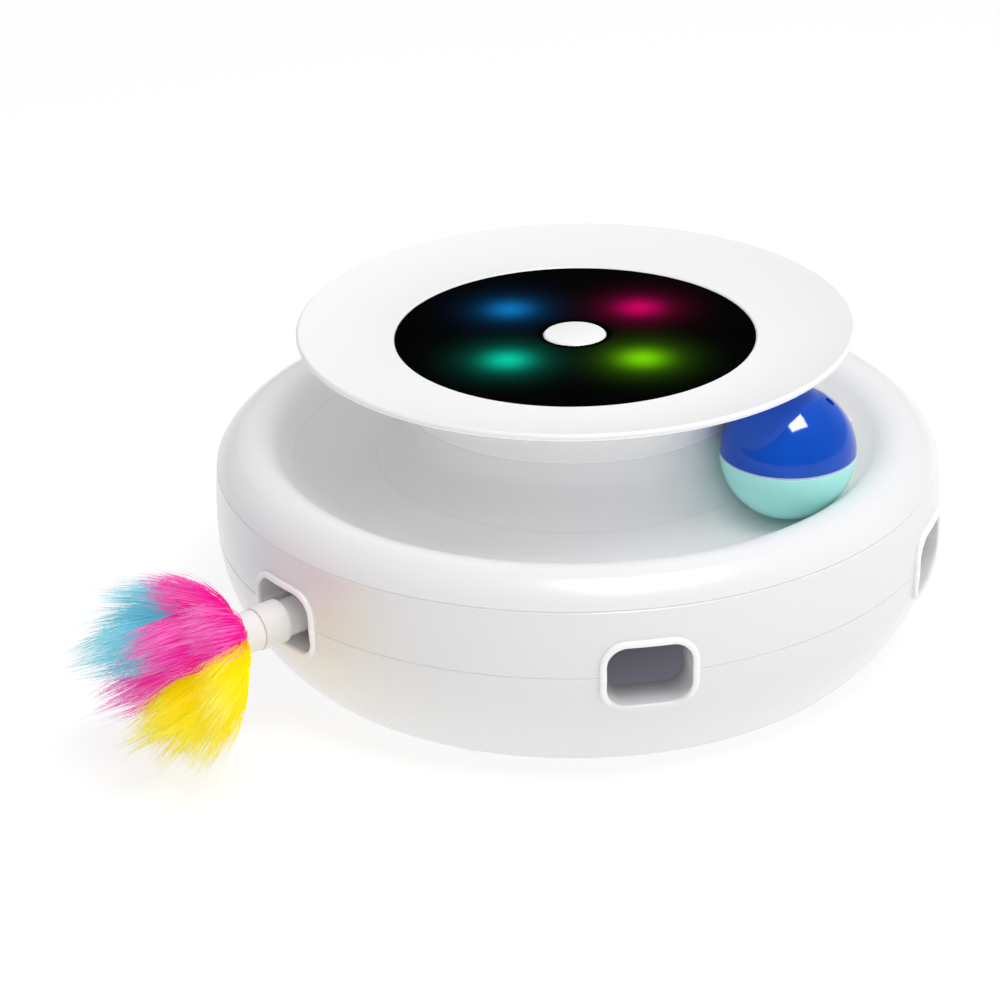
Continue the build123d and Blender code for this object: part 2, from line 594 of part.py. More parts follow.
# Rubber ring that the toy stands on
with BuildPart() as foot_ring:
    with BuildSketch(Plane.XY):
        Circle(FOOT_OUT)
        Circle(FOOT_IN, mode=Mode.SUBTRACT)
    extrude(amount=FOOT_TOP)
    chamfer(foot_ring.edges().group_by(Axis.Z)[0], 0.5)
foot_ring.part.label = "foot_ring"
export_step(foot_ring.part, "parts/foot_ring.step")

# Main board at the back, with its chips
with BuildPart() as main_board:
    with BuildSketch(Plane.XY.offset(MAIN_Z)):
        with Locations((0, sum(MAIN_Y) / 2)):
            Rectangle(MAIN_W, MAIN_Y[1] - MAIN_Y[0])
        with Locations(*STANDOFFS):
            Circle(1.3, mode=Mode.SUBTRACT)
    extrude(amount=BOARD)
    with BuildSketch(Plane.XY.offset(MAIN_TOP)):
        with Locations((-8, MAIN_Y[0] + 13)):
            Rectangle(8, 8)
        with Locations((9, MAIN_Y[0] + 15)):
            Rectangle(5, 6)
        with Locations((12, MAIN_Y[0] + 6)):
            Circle(3)
    extrude(amount=2)
main_board.part.label = "main_board"
export_step(main_board.part, "parts/main_board.step")

# Charging socket on the board, behind the slot in the wall
SOCKET_Y = MAIN_Y[1] - 2.0
SOCKET_L = 7.4
with BuildPart() as charge_socket:
    with BuildSketch(radial_plane(90, SOCKET_Y, PORT_Z)):
        RectangleRounded(9.0, 3.2, 1.5)
    extrude(amount=SOCKET_L)
    with BuildSketch(radial_plane(90, SOCKET_Y + 1, PORT_Z)):
        RectangleRounded(8.4, 2.6, 1.25)
        Rectangle(6.6, 0.7, mode=Mode.SUBTRACT)
    extrude(amount=SOCKET_L - 1, mode=Mode.SUBTRACT)
charge_socket.part.label = "charge_socket"
export_step(charge_socket.part, "parts/charge_socket.step")

# Rechargeable cell in its holder on the left
HOLDER_L = CELL_L + 6.0
with BuildPart() as battery_holder:
    with BuildSketch(Plane.XY.offset(FLOOR_TOP)):
        with Locations((CELL_X, 0)):
            Rectangle(2 * CELL_R + 3.6, HOLDER_L)
    extrude(amount=11)
    with BuildSketch(Plane.XY.offset(CELL_Z - CELL_R - 0.1)):
        with Locations((CELL_X, 0)):
            Rectangle(2 * CELL_R + 0.4, CELL_L + 2.4)
    extrude(amount=20, mode=Mode.SUBTRACT)
battery_holder.part.label = "battery_holder"
export_step(battery_holder.part, "parts/battery_holder.step")

with BuildPart() as battery_cell:
    with BuildSketch(Plane(origin=(CELL_X, -CELL_L / 2, CELL_Z), x_dir=(1, 0, 0), z_dir=(0, 1, 0))):
        Circle(CELL_R)
    extrude(amount=CELL_L - 1)
    fillet(battery_cell.edges(), 0.6)
    with BuildSketch(Plane(origin=(CELL_X, CELL_L / 2 - 1, CELL_Z), x_dir=(1, 0, 0), z_dir=(0, 1, 0))):
        Circle(3)
    extrude(amount=1)
battery_cell.part.label = "battery_cell"
export_step(battery_cell.part, "parts/battery_cell.step")

# Drive motor in the floor's cradle
MOTOR_TOP = TURN_Z - 3.5
with BuildPart() as drive_motor:
    with BuildSketch(Plane.XY.offset(FLOOR_TOP)):
        with Locations((DRIVE_X, 0)):
            Circle(MOTOR_R)
    extrude(amount=MOTOR_TOP - FLOOR_TOP)
    fillet(drive_motor.edges().group_by(Axis.Z)[-1], 1.0)
    with BuildSketch(Plane.XY.offset(MOTOR_TOP)):
        with Locations((DRIVE_X, 0)):
            Circle(3)
    extrude(amount=1.4)
    with BuildSketch(Plane.XY.offset(MOTOR_TOP + 1.4)):
        with Locations((DRIVE_X, 0)):
            Circle(1 + RUNNING)
    extrude(amount=-8, mode=Mode.SUBTRACT)
drive_motor.part.label = "drive_motor"
export_step(drive_motor.part, "parts/drive_motor.step")

# Drive pinion and its shaft, with a gap facing the turntable's tooth
DRIVE_Z = TURN_Z - 1.0
SHAFT_Z = MOTOR_TOP - 6.0
with BuildPart() as drive_pinion:
    with BuildSketch(Plane.XY.offset(DRIVE_Z)):
        with Locations((DRIVE_X, 0)):
            Polygon(*gear_points(DRIVE_TEETH, TURN_MODULE, 180 / DRIVE_TEETH), align=None)
    extrude(amount=TURN_TOP - DRIVE_Z)
    with BuildSketch(Plane.XY.offset(SHAFT_Z)):
        with Locations((DRIVE_X, 0)):
            Circle(1)
    extrude(amount=DRIVE_Z - SHAFT_Z)
drive_pinion.part.label = "drive_pinion"
export_step(drive_pinion.part, "parts/drive_pinion.step")

# Turntable: gear rim, hub on the spindle
with BuildPart() as turntable:
    with BuildSketch(Plane.XY.offset(TURN_Z)):
        Polygon(*gear_points(TURN_TEETH, TURN_MODULE), align=None)
    extrude(amount=TURN_TOP - TURN_Z)
    with BuildSketch(Plane.XY.offset(TURN_HUB_Z)):
        Circle(9.5)
    extrude(amount=TURN_Z - TURN_HUB_Z)
    with BuildSketch(Plane.XY.offset(TURN_HUB_Z)):
        Circle(SPINDLE_R + RUNNING)
    extrude(amount=TURN_TOP - TURN_HUB_Z, mode=Mode.SUBTRACT)
turntable.part.label = "turntable"
export_step(turntable.part, "parts/turntable.step")

with BuildPart() as thrust_washer:
    with BuildSketch(Plane.XY.offset(BOSS_TOP)):
        Circle(8.5)
        Circle(SPINDLE_R + 0.1, mode=Mode.SUBTRACT)
    extrude(amount=TURN_HUB_Z - BOSS_TOP - RUNNING)
thrust_washer.part.label = "thrust_washer"
export_step(thrust_washer.part, "parts/thrust_washer.step")

# Broad-headed screw that keeps the turntable on its spindle
with BuildPart() as spindle_screw:
    with BuildSketch(Plane.XY.offset(SPINDLE_TOP)):
        Circle(7)
    extrude(amount=1.2)
    with BuildSketch(Plane.XY.offset(SPINDLE_TOP)):
        Circle(SCREW_R)
    extrude(amount=-10)
spindle_screw.part.label = "spindle_screw"
export_step(spindle_screw.part, "parts/spindle_screw.step")

# Slip ring under the turntable and the brushes that feed it
SLIP_RING = 0.6
BRUSH_TOP = TURN_Z - SLIP_RING - 0.3
BRUSH_H = 1.9
with BuildPart() as slip_ring:
    with BuildSketch(Plane.XY.offset(TURN_Z - SLIP_RING)):
        Circle(19.5)
        Circle(11, mode=Mode.SUBTRACT)
    extrude(amount=SLIP_RING)
slip_ring.part.label = "slip_ring"
export_step(slip_ring.part, "parts/slip_ring.step")

with BuildPart() as brush_block:
    with BuildSketch(Plane.XY.offset(FLOOR_TOP)):
        with Locations((-15.5, 0)):
            Rectangle(8, 9)
    extrude(amount=BRUSH_TOP - BRUSH_H - FLOOR_TOP)
    with BuildSketch(Plane.XY.offset(BRUSH_TOP - BRUSH_H)):
        with Locations((-17.6, 0), (-13.4, 0)):
            Rectangle(1.4, 5)
    extrude(amount=BRUSH_H)
brush_block.part.label = "brush_block"
export_step(brush_block.part, "parts/brush_block.step")

# Guide channel on the turntable: two lips hold the carriage down
SLOT_V = 7.3
CHANNEL_V = 10.2
GUIDE_V = 14.0
with BuildPart() as guide_channel:
    with BuildSketch(TURRET.offset(TURN_TOP)):
        Rectangle(2 * GUIDE_HALF, 2 * GUIDE_V)
    extrude(amount=GUIDE_TOP - TURN_TOP)
    with BuildSketch(TURRET.offset(GUIDE_FLOOR)):
        Rectangle(2 * GUIDE_HALF, 2 * CHANNEL_V)
    extrude(amount=LIP_Z - GUIDE_FLOOR, mode=Mode.SUBTRACT)
    with BuildSketch(TURRET.offset(LIP_Z)):
        Rectangle(2 * GUIDE_HALF, 2 * SLOT_V)
    extrude(amount=GUIDE_TOP - LIP_Z, mode=Mode.SUBTRACT)
    with BuildSketch(TURRET.offset(TURN_TOP)):
        Circle(8)
    extrude(amount=GUIDE_FLOOR - TURN_TOP, mode=Mode.SUBTRACT)
guide_channel.part.label = "guide_channel"
export_step(guide_channel.part, "parts/guide_channel.step")

# Wand carriage: slider, rack, arm and the stub that the refill pushes onto
SLIDER_END = GUIDE_HALF + 1.0
SLIDER_V = 9.9
WEB_V = 6.95
RACK_Z = WAND_Z - 2.0
RACK_TOP = WAND_Z + 5.0
with BuildPart() as wand_carriage:
    with BuildSketch(TURRET.offset(GUIDE_FLOOR + 0.3)):
        with Locations(((CARRIAGE_BACK + SLIDER_END) / 2, 0)):
            Rectangle(SLIDER_END - CARRIAGE_BACK, 2 * SLIDER_V)
    extrude(amount=2)
    with BuildSketch(TURRET.offset(GUIDE_FLOOR + 1)):
        with Locations(((CARRIAGE_BACK + SLIDER_END) / 2, 0)):
            Rectangle(SLIDER_END - CARRIAGE_BACK, 2 * WEB_V)
    extrude(amount=RACK_TOP - GUIDE_FLOOR - 1)
    with BuildSketch(TURRET.offset(RACK_Z)):
        with BuildLine():
            Polyline(*rack_points(CARRIAGE_BACK, RACK_END, 0), close=True)
        make_face()
    extrude(amount=RACK_TOP - RACK_Z)
    with BuildSketch(radial_plane(WAND_ANGLE, CARRIAGE_BACK, WAND_Z)):
        Circle(ARM_R)
    extrude(amount=ARM_END - CARRIAGE_BACK)
    with BuildSketch(radial_plane(WAND_ANGLE, ARM_END, WAND_Z)):
        Circle(STUB_R)
    extrude(amount=STUB_END - ARM_END)
wand_carriage.part.label = "wand_carriage"
export_step(wand_carriage.part, "parts/wand_carriage.step")

# Rack pinion with its shaft, a tooth facing the rack
PINION_Z = RACK_Z + 0.3
PINION_TOP = RACK_TOP + 0.2
BRACKET_Z = PINION_TOP + 1.8
with BuildPart() as rack_pinion:
    with BuildSketch(TURRET.offset(PINION_Z)):
        with Locations((PINION_U, PINION_V)):
            Polygon(*gear_points(RACK_TEETH, RACK_MODULE, -90), align=None)
    extrude(amount=PINION_TOP - PINION_Z)
    with BuildSketch(TURRET.offset(PINION_TOP)):
        with Locations((PINION_U, PINION_V)):
            Circle(1.5)
    extrude(amount=9)
rack_pinion.part.label = "rack_pinion"
export_step(rack_pinion.part, "parts/rack_pinion.step")

# Bracket that holds the wand motor over the rack
BRACKET_WALL_V = 32.0
with BuildPart() as motor_bracket:
    with BuildSketch(TURRET.offset(TURN_TOP)):
        with Locations((PINION_U, BRACKET_WALL_V + 6)):
            Rectangle(24, 12)
    extrude(amount=2)
    with BuildSketch(TURRET.offset(TURN_TOP)):
        with Locations((PINION_U, BRACKET_WALL_V + 1)):
            Rectangle(24, 2)
    extrude(amount=BRACKET_Z + 2 - TURN_TOP)
    with BuildSketch(TURRET.offset(BRACKET_Z)):
        with Locations((PINION_U, (10.5 + BRACKET_WALL_V + 2) / 2)):
            Rectangle(24, BRACKET_WALL_V + 2 - 10.5)
        with Locations((PINION_U, PINION_V)):
            Circle(2.5, mode=Mode.SUBTRACT)
    extrude(amount=2)
motor_bracket.part.label = "motor_bracket"
export_step(motor_bracket.part, "parts/motor_bracket.step")

with BuildPart() as wand_motor:
    with BuildSketch(TURRET.offset(BRACKET_Z + 2)):
        with Locations((PINION_U, PINION_V)):
            Circle(8)
    extrude(amount=10)
    with BuildSketch(TURRET.offset(BRACKET_Z + 12)):
        with Locations((PINION_U, PINION_V)):
            Circle(6.5)
    extrude(amount=15)
    with BuildSketch(TURRET.offset(BRACKET_Z + 2)):
        with Locations((PINION_U, PINION_V)):
            Circle(1.5 + RUNNING)
    extrude(amount=6, mode=Mode.SUBTRACT)
wand_motor.part.label = "wand_motor"
export_step(wand_motor.part, "parts/wand_motor.step")

# Refill: sleeve that pushes onto the stub, and the ferrule that grips the quills
with BuildPart() as wand_sleeve:
    with BuildSketch(radial_plane(WAND_ANGLE, SLEEVE_START, WAND_Z)):
        Circle(SLEEVE_R)
    extrude(amount=SLEEVE_END - SLEEVE_START)
    fillet(wand_sleeve.edges(), 0.5)
    with BuildSketch(radial_plane(WAND_ANGLE, SLEEVE_START, WAND_Z)):
        Circle(STUB_R + RUNNING)
    extrude(amount=SLEEVE_END - SLEEVE_START - 0.8, mode=Mode.SUBTRACT)
wand_sleeve.part.label = "wand_sleeve"
export_step(wand_sleeve.part, "parts/wand_sleeve.step")

with BuildPart() as ferrule:
    with BuildSketch(radial_plane(WAND_ANGLE, SLEEVE_END, WAND_Z)):
        Circle(FERRULE_R)
    extrude(amount=FERRULE_END - SLEEVE_END)
    fillet(ferrule.edges(), 0.6)
ferrule.part.label = "ferrule"
export_step(ferrule.part, "parts/ferrule.step")

# Plumes in three colours, each plume a soft spindle on its quill
ALONG = Vector(*polar(1, WAND_ANGLE))
ASIDE = Vector(0, 0, 1).cross(ALONG)
ROOT = Vector(*polar(FERRULE_END, WAND_ANGLE, WAND_Z))
for colour, plumes in {"yellow": YELLOW, "pink": PINK, "blue": BLUE}.items():
    with BuildPart() as feather:
        for turn, spread, length, half_width in plumes:
            ring = ASIDE * math.cos(math.radians(turn)) + Vector(0, 0, 1) * math.sin(math.radians(turn))
            way = ALONG * math.cos(math.radians(spread)) + ring * math.sin(math.radians(spread))
            side = ALONG.cross(ring)
            root = ROOT + ring * QUILL_R + ALONG * 0.6
            with BuildSketch(Plane(origin=root, x_dir=side, z_dir=side.cross(way))):
                with BuildLine():
                    Polyline((0, length), (0, 0), (0.7, 0), (0.9, 0.12 * length))
                    ThreePointArc((0.9, 0.12 * length), (0.6 * half_width, 0.36 * length),
                                  (half_width, 0.62 * length))
                    ThreePointArc((half_width, 0.62 * length), (0.76 * half_width, 0.84 * length), (0.4, length))
                    Line((0.4, length), (0, length))
                make_face()
            revolve(axis=Axis(root, way))
    feather.part.label = f"feather_{colour}"
    export_step(feather.part, f"parts/feather_{colour}.step")

# Ball halves, closed by a stepped joint, with a sound hole in each
BALL_Z = TRACK_Z - TRACK_ARC + BALL_R + BALL_GAP
BALL_AT = Vector(*polar(TRACK_R, BALL_ANGLE, BALL_Z))
BALL_IN = BALL_R - BALL_WALL
STEP_R = BALL_R - BALL_WALL / 2
STEP_H = 1.5
SOUND = Vector(math.cos(math.radians(SOUND_TILT)) * math.cos(math.radians(SOUND_TURN)),
               math.cos(math.radians(SOUND_TILT)) * math.sin(math.radians(SOUND_TURN)),
               math.sin(math.radians(SOUND_TILT)))
BALL_XY = Plane(origin=BALL_AT, x_dir=(1, 0, 0), z_dir=(0, 0, 1))
BALL_XZ = Plane(origin=BALL_AT, x_dir=(1, 0, 0), z_dir=(0, -1, 0))
with BuildPart() as ball_upper:
    with BuildSketch(BALL_XZ):
        with BuildLine():
            Polyline((0, BALL_IN), (0, BALL_R))
            RadiusArc((0, BALL_R), (math.sqrt(BALL_R ** 2 - 0.01), 0.1), BALL_R)
            Polyline((math.sqrt(BALL_R ** 2 - 0.01), 0.1), (STEP_R, 0.1), (STEP_R, STEP_H),
                     (math.sqrt(BALL_IN ** 2 - STEP_H ** 2), STEP_H))
            RadiusArc((math.sqrt(BALL_IN ** 2 - STEP_H ** 2), STEP_H), (0, BALL_IN), -BALL_IN)
        make_face()
    revolve(axis=Axis(BALL_AT, (0, 0, 1)))
    with BuildSketch(Plane(origin=BALL_AT, z_dir=SOUND)):
        Circle(SOUND_HOLE_R)
    extrude(amount=BALL_R + 2, mode=Mode.SUBTRACT)
ball_upper.part.label = "ball_upper"
export_step(ball_upper.part, "parts/ball_upper.step")

with BuildPart() as ball_lower:
    step_r = STEP_R - 0.05
    step_h = STEP_H - 0.05
    with BuildSketch(BALL_XZ):
        with BuildLine():
            Polyline((0, -BALL_IN), (0, -BALL_R))
            RadiusArc((0, -BALL_R), (math.sqrt(BALL_R ** 2 - 0.01), -0.1), -BALL_R)
            Polyline((math.sqrt(BALL_R ** 2 - 0.01), -0.1), (step_r, -0.1), (step_r, step_h),
                     (math.sqrt(BALL_IN ** 2 - step_h ** 2), step_h))
            RadiusArc((math.sqrt(BALL_IN ** 2 - step_h ** 2), step_h), (0, -BALL_IN), BALL_IN)
        make_face()
    revolve(axis=Axis(BALL_AT, (0, 0, 1)))
    with BuildSketch(Plane(origin=BALL_AT, z_dir=-SOUND)):
        Circle(SOUND_HOLE_R)
    extrude(amount=BALL_R + 2, mode=Mode.SUBTRACT)
ball_lower.part.label = "ball_lower"
export_step(ball_lower.part, "parts/ball_lower.step")

# Bell that lies in the ball, with its slot, and the pellet inside it
BELL_AT = BALL_AT - Vector(0, 0, BALL_IN - BELL_R - 0.3)
with BuildPart() as jingle_bell:
    with Locations(BELL_AT):
        Sphere(BELL_R)
        Sphere(BELL_R - 0.6, mode=Mode.SUBTRACT)
    with BuildSketch(Plane(origin=BELL_AT, x_dir=(1, 0, 0), z_dir=(0, 0, 1))):
        SlotOverall(10, 1.4)
    extrude(amount=BELL_R + 1, mode=Mode.SUBTRACT)
jingle_bell.part.label = "jingle_bell"
export_step(jingle_bell.part, "parts/jingle_bell.step")

with BuildPart() as bell_pellet:
    with Locations(BELL_AT - Vector(0, 0, BELL_R - 0.6 - PELLET_R - 0.2)):
        Sphere(PELLET_R)
bell_pellet.part.label = "bell_pellet"
export_step(bell_pellet.part, "parts/bell_pellet.step")

# Leads along the floor and the cable up the back wall to the light board
LEADS = {
    "drive_lead": [(69, 12.5, 12.6), (69, 18, 12.2), (66, 27, 8.6), (58, 45, 6.2), (46, 62, 6.2), (34, 74, 6.6),
                   (31.5, 82, 9.4), (29.3, 86, 13.4)],
    "battery_lead": [(-75, 36.2, 9), (-74, 42, 8), (-69, 52, 6.4), (-58, 63, 6.2), (-45, 72, 6.2),
                     (-35, 77, 7.0), (-31.5, 82, 9.8), (-29.3, 86, 13.4)],
    "light_cable": [(14, 104, 15.6), (15, 108.5, 20), (16, 112.5, 30), (16, 114.5, 42), (16, 113.5, 53),
                    (14, 109.5, 60), (10, 103.5, 60), (6, 96, 55), (3, 88, 52.6), (0, 79, 52.6), (0, 69, 54.5),
                    (0, 60, 60), (0, 54.5, 67), (0, 51.5, 72.5), (0, 46, 76.8), (0, 38, 78), (0, 33.5, 81.2)],
}
for name, route in LEADS.items():
    radii = bend_radii(route)
    print(name, "bend radii", [round(r, 1) for r in radii])
    with BuildPart() as lead:
        with BuildLine() as path:
            FilletPolyline(*route, radius=radii)
        with BuildSketch(Plane(origin=path.line @ 0, z_dir=path.line % 0)):
            Circle(LEAD_R)
        sweep(path=path.line)
    tube = math.pi * LEAD_R ** 2 * path.wires()[0].length
    print(name, "volume over section times length", round(lead.part.volume / tube, 4))
    lead.part.label = name
    export_step(lead.part, f"parts/{name}.step")
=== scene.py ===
# %% [markdown]
# # Automatic cat toy
#
# A round white case stands on a rubber ring. A feather wand reaches out of one of six peep holes, a two-colour ball
# lies in an open track, and a saucer on top carries a smoked panel with four lights and a push button.
#
# The hard pieces come finished from the CAD frame, so this lesson does two things: it gives every surface the finish
# of the real toy, and it makes the one soft piece, the feather tuft, out of barbs on quills.

# %% Load the frame
import json
import math
import random

import bpy
from mathutils import Matrix, Vector


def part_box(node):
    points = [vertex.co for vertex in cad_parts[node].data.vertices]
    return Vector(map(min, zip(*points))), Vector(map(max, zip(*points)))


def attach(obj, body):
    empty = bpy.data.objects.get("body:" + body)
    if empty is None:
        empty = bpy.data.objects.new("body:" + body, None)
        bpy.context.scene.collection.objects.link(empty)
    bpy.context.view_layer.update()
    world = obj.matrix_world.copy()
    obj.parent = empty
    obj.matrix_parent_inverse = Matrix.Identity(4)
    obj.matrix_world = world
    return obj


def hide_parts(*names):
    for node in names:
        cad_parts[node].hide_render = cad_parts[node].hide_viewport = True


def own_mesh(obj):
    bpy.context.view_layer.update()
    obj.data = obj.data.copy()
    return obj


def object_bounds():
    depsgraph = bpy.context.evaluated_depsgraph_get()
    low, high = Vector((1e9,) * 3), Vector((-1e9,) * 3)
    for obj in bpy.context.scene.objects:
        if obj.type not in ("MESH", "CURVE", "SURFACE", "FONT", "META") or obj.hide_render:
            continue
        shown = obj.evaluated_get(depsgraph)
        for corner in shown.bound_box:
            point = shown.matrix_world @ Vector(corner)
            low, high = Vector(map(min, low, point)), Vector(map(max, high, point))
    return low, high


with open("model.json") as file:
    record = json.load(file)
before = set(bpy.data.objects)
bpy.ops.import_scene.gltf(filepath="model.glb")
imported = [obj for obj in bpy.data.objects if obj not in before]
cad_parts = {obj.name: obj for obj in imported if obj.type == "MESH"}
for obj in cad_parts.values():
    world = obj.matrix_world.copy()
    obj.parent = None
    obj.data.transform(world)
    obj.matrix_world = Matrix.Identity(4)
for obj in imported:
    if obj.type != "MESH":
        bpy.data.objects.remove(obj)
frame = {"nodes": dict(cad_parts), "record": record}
nodes = frame["nodes"]
cad_box = [list(corner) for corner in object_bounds()]
MM = 0.001
UP = Vector((0, 0, 1))
print("CAD box in metres", cad_box)

# %% [markdown]
# ## Camera
#
# A camera could be aimed by eye, but the toy is full of circles, and a circle seen at an angle fixes the view exactly.
# The rim, the saucer, the panel and the peep holes of the photograph gave the distance, height, aim and focal length
# below. The front of the photograph is turned a little from the front of the frame.

# %% Camera
FRONT_TURN = math.radians(19.75)
CAMERA_BACK = 870.56 * MM
CAMERA_UP = 462.73 * MM
CAMERA_YAW = math.radians(-1.7065)
CAMERA_PITCH = math.radians(25.806)
CAMERA_ROLL = math.radians(-1.386)
SENSOR = 36.0
FOCAL_SHARE = 2.85872  # focal length over the image's width


def place_camera():
    """Stand the camera where the photograph was taken."""
    heading = CAMERA_YAW - FRONT_TURN
    level = Vector((math.sin(heading), math.cos(heading), 0))
    ahead = level * math.cos(CAMERA_PITCH) - UP * math.sin(CAMERA_PITCH)
    right = Vector((math.cos(heading), -math.sin(heading), 0))
    above = right.cross(ahead)
    c, s = math.cos(CAMERA_ROLL), math.sin(CAMERA_ROLL)
    x_axis, y_axis, z_axis = right * c + above * s, above * c - right * s, -ahead
    spot = Vector((CAMERA_BACK * math.sin(FRONT_TURN), -CAMERA_BACK * math.cos(FRONT_TURN), CAMERA_UP))
    camera = bpy.data.objects.new("camera", bpy.data.cameras.new("camera"))
    camera.data.sensor_width = SENSOR
    camera.data.lens = SENSOR * FOCAL_SHARE
    camera.matrix_world = Matrix([(x_axis[i], y_axis[i], z_axis[i], spot[i]) for i in range(3)] + [(0, 0, 0, 1)])
    bpy.context.scene.collection.objects.link(camera)
    bpy.context.scene.camera = camera
    return camera


camera = place_camera()
bpy.context.scene.view_settings.view_transform = "Standard"
print("camera at", [round(c, 3) for c in camera.matrix_world.translation], "lens", round(camera.data.lens, 1))

# %% [markdown]
# ## Shader maths in plain Python
#
# A finish is a small sum: so much grain, so much dust in a seam. Wiring that sum node by node hides it, so a wire is
# wrapped in a class whose operators add Math nodes, and every other node comes from the one method `node`.


# %% Wires
class Wire:
    """One output of a shader node. Sums and products with wires or numbers add Math nodes to its tree."""

    def __init__(self, tree, socket=None):
        self.tree = tree
        self.socket = socket

    def node(self, kind, settings=None, sockets=None, output=0):
        """Add a node: its settings first, then a value or a wire for each socket by name or number."""
        made = self.tree.nodes.new("ShaderNode" + kind)
        for name, value in (settings or {}).items():
            if name == "stops":
                for stop, (place, colour) in enumerate(value):
                    elements = made.color_ramp.elements
                    element = elements[stop] if stop < 2 else elements.new(place)
                    element.position = place
                    element.color = colour
            else:
                setattr(made, name, value)
        for key, value in (sockets or {}).items():
            if isinstance(value, Wire):
                self.tree.links.new(value.socket, made.inputs[key])
            else:
                made.inputs[key].default_value = value
        return Wire(self.tree, made.outputs[output])

    def math(self, operation, first, second=0.0):
        return self.node("Math", {"operation": operation}, {0: first, 1: second})

    def __add__(self, other):
        return self.math("ADD", self, other)

    def __radd__(self, other):
        return self.math("ADD", other, self)

    def __sub__(self, other):
        return self.math("SUBTRACT", self, other)

    def __rsub__(self, other):
        return self.math("SUBTRACT", other, self)

    def __mul__(self, other):
        return self.math("MULTIPLY", self, other)

    def __rmul__(self, other):
        return self.math("MULTIPLY", other, self)

    def __abs__(self):
        return self.math("ABSOLUTE", self)


# %% [markdown]
# A few sentences come up in nearly every finish: where am I on the piece, how grainy is it here, am I near this line.
# They are written once, in metres, because every piece lies in the frame's metres.


# %% Shared sentences for finishes
def new_finish(name, **values):
    """A material, a wire to build on, and its shader with the plain values already set."""
    material = bpy.data.materials.new(name)
    material.use_nodes = True
    shader = material.node_tree.nodes["Principled BSDF"]
    for socket, value in values.items():
        shader.inputs[socket.replace("_", " ")].default_value = value
    return material, Wire(material.node_tree), shader


def feed(wire, shader, socket):
    """Let a wire drive one socket of a shader."""
    wire.tree.links.new(wire.socket, shader.inputs[socket])


def place_on_piece(wire):
    return wire.node("TexCoord", output="Object")


def height_on_piece(wire):
    return wire.node("SeparateXYZ", None, {0: place_on_piece(wire)}, "Z")


def grain(wire, size, detail=2.0, stretch=(1, 1, 1)):
    """Soft random value from 0 to 1 with features of about this size in metres."""
    where = wire.node("VectorMath", {"operation": "MULTIPLY"}, {0: place_on_piece(wire), 1: stretch})
    return wire.node("TexNoise", None, {"Vector": where, "Scale": 1 / size, "Detail": detail}, "Fac")


def ease(wire, value, low, high):
    """0 at low, 1 at high, smooth between."""
    sockets = {"Value": value, "From Min": low, "From Max": high}
    return wire.node("MapRange", {"interpolation_type": "SMOOTHSTEP"}, sockets)


def blend_colours(wire, share, first, second, way="MIX"):
    """Mix two colours; a Mix node keeps its colours in sockets 6 and 7."""
    sockets = {0: share, 6: first, 7: second}
    return wire.node("Mix", {"data_type": "RGBA", "blend_type": way}, sockets, output=2)


def bump(wire, height, depth):
    """Surface normal from a height of 0 to 1 that is depth metres deep."""
    return wire.node("Bump", None, {"Height": height, "Distance": depth})


def opaque(colour, share=1.0):
    """A colour, made lighter or darker by share, as a shader takes it."""
    return (*(c * share for c in colour), 1)


DARK, WHITE = (0, 0, 0), (1, 1, 1)
finishes = {}
print("finishes can be written as sums")

# %% [markdown]
# ## Glossy white shell
#
# The lower case, the upper ring and the tray are moulded in one glossy white plastic, a touch cool. Real mouldings are
# never perfectly even: the gloss wavers over a few centimetres where the melt flowed, the surface has a faint orange
# peel and a little dust settles in the parting lines. Far down the tunnels the white is darkened as painted shade, and
# the lips round the peep holes are made whiter as a painted highlight. Paws scuff the rolled rim, so its gloss breaks
# up a little.
#
# The wall is thin, so daylight seeps through and the inside of the case is dusky, not black. True scattering through
# the wall would be slow, so the inner faces and the parting lines get a painted glow that stands in for that light.

# %% Where on the shell
SEAM_HEIGHTS = (40 * MM, 62 * MM)
BODY_R = 121 * MM
TUNNEL_END_R = 104 * MM
TUNNEL_LOW, TUNNEL_HIGH = 27 * MM, 53 * MM
FLOOR_TOP = 6 * MM
DUSK_R = 90 * MM
SOFT_EDGE = 2 * MM
FACES_AXIS = (0.5, 0.8)  # how squarely a wall looks at the axis before it counts as inside
FACES_UP = (0.9, 0.99)  # how squarely a floor looks up


def off_axis(wire):
    """Distance from the upright axis of the toy."""
    flat = wire.node("VectorMath", {"operation": "MULTIPLY"}, {0: place_on_piece(wire), 1: (1, 1, 0)})
    return wire.node("VectorMath", {"operation": "LENGTH"}, {0: flat}, "Value")


def below(wire, value, top):
    """1 up to top, easing to 0 just above it."""
    return 1 - ease(wire, value, top, top + SOFT_EDGE)


def between(wire, value, low, high):
    """1 between low and high, easing to 0 just outside."""
    return ease(wire, value, low - SOFT_EDGE, low) * below(wire, value, high)


def indoors(wire):
    """1 on the wall and floor faces inside the case, 0 outside."""
    flat = wire.node("VectorMath", {"operation": "MULTIPLY"}, {0: place_on_piece(wire), 1: (-1, -1, 0)})
    to_axis = wire.node("VectorMath", {"operation": "NORMALIZE"}, {0: flat}, "Vector")
    facing = wire.node("NewGeometry", None, None, "Normal")
    toward = wire.node("VectorMath", {"operation": "DOT_PRODUCT"}, {0: to_axis, 1: facing}, "Value")
    upward = wire.node("SeparateXYZ", None, {0: facing}, "Z")
    height = height_on_piece(wire)
    walls = ease(wire, toward, *FACES_AXIS) * below(wire, height, TUNNEL_HIGH)
    floor = ease(wire, upward, *FACES_UP) * below(wire, height, FLOOR_TOP)
    return walls + floor * ease(wire, off_axis(wire), 0, DUSK_R)


print("parting lines at", SEAM_HEIGHTS)


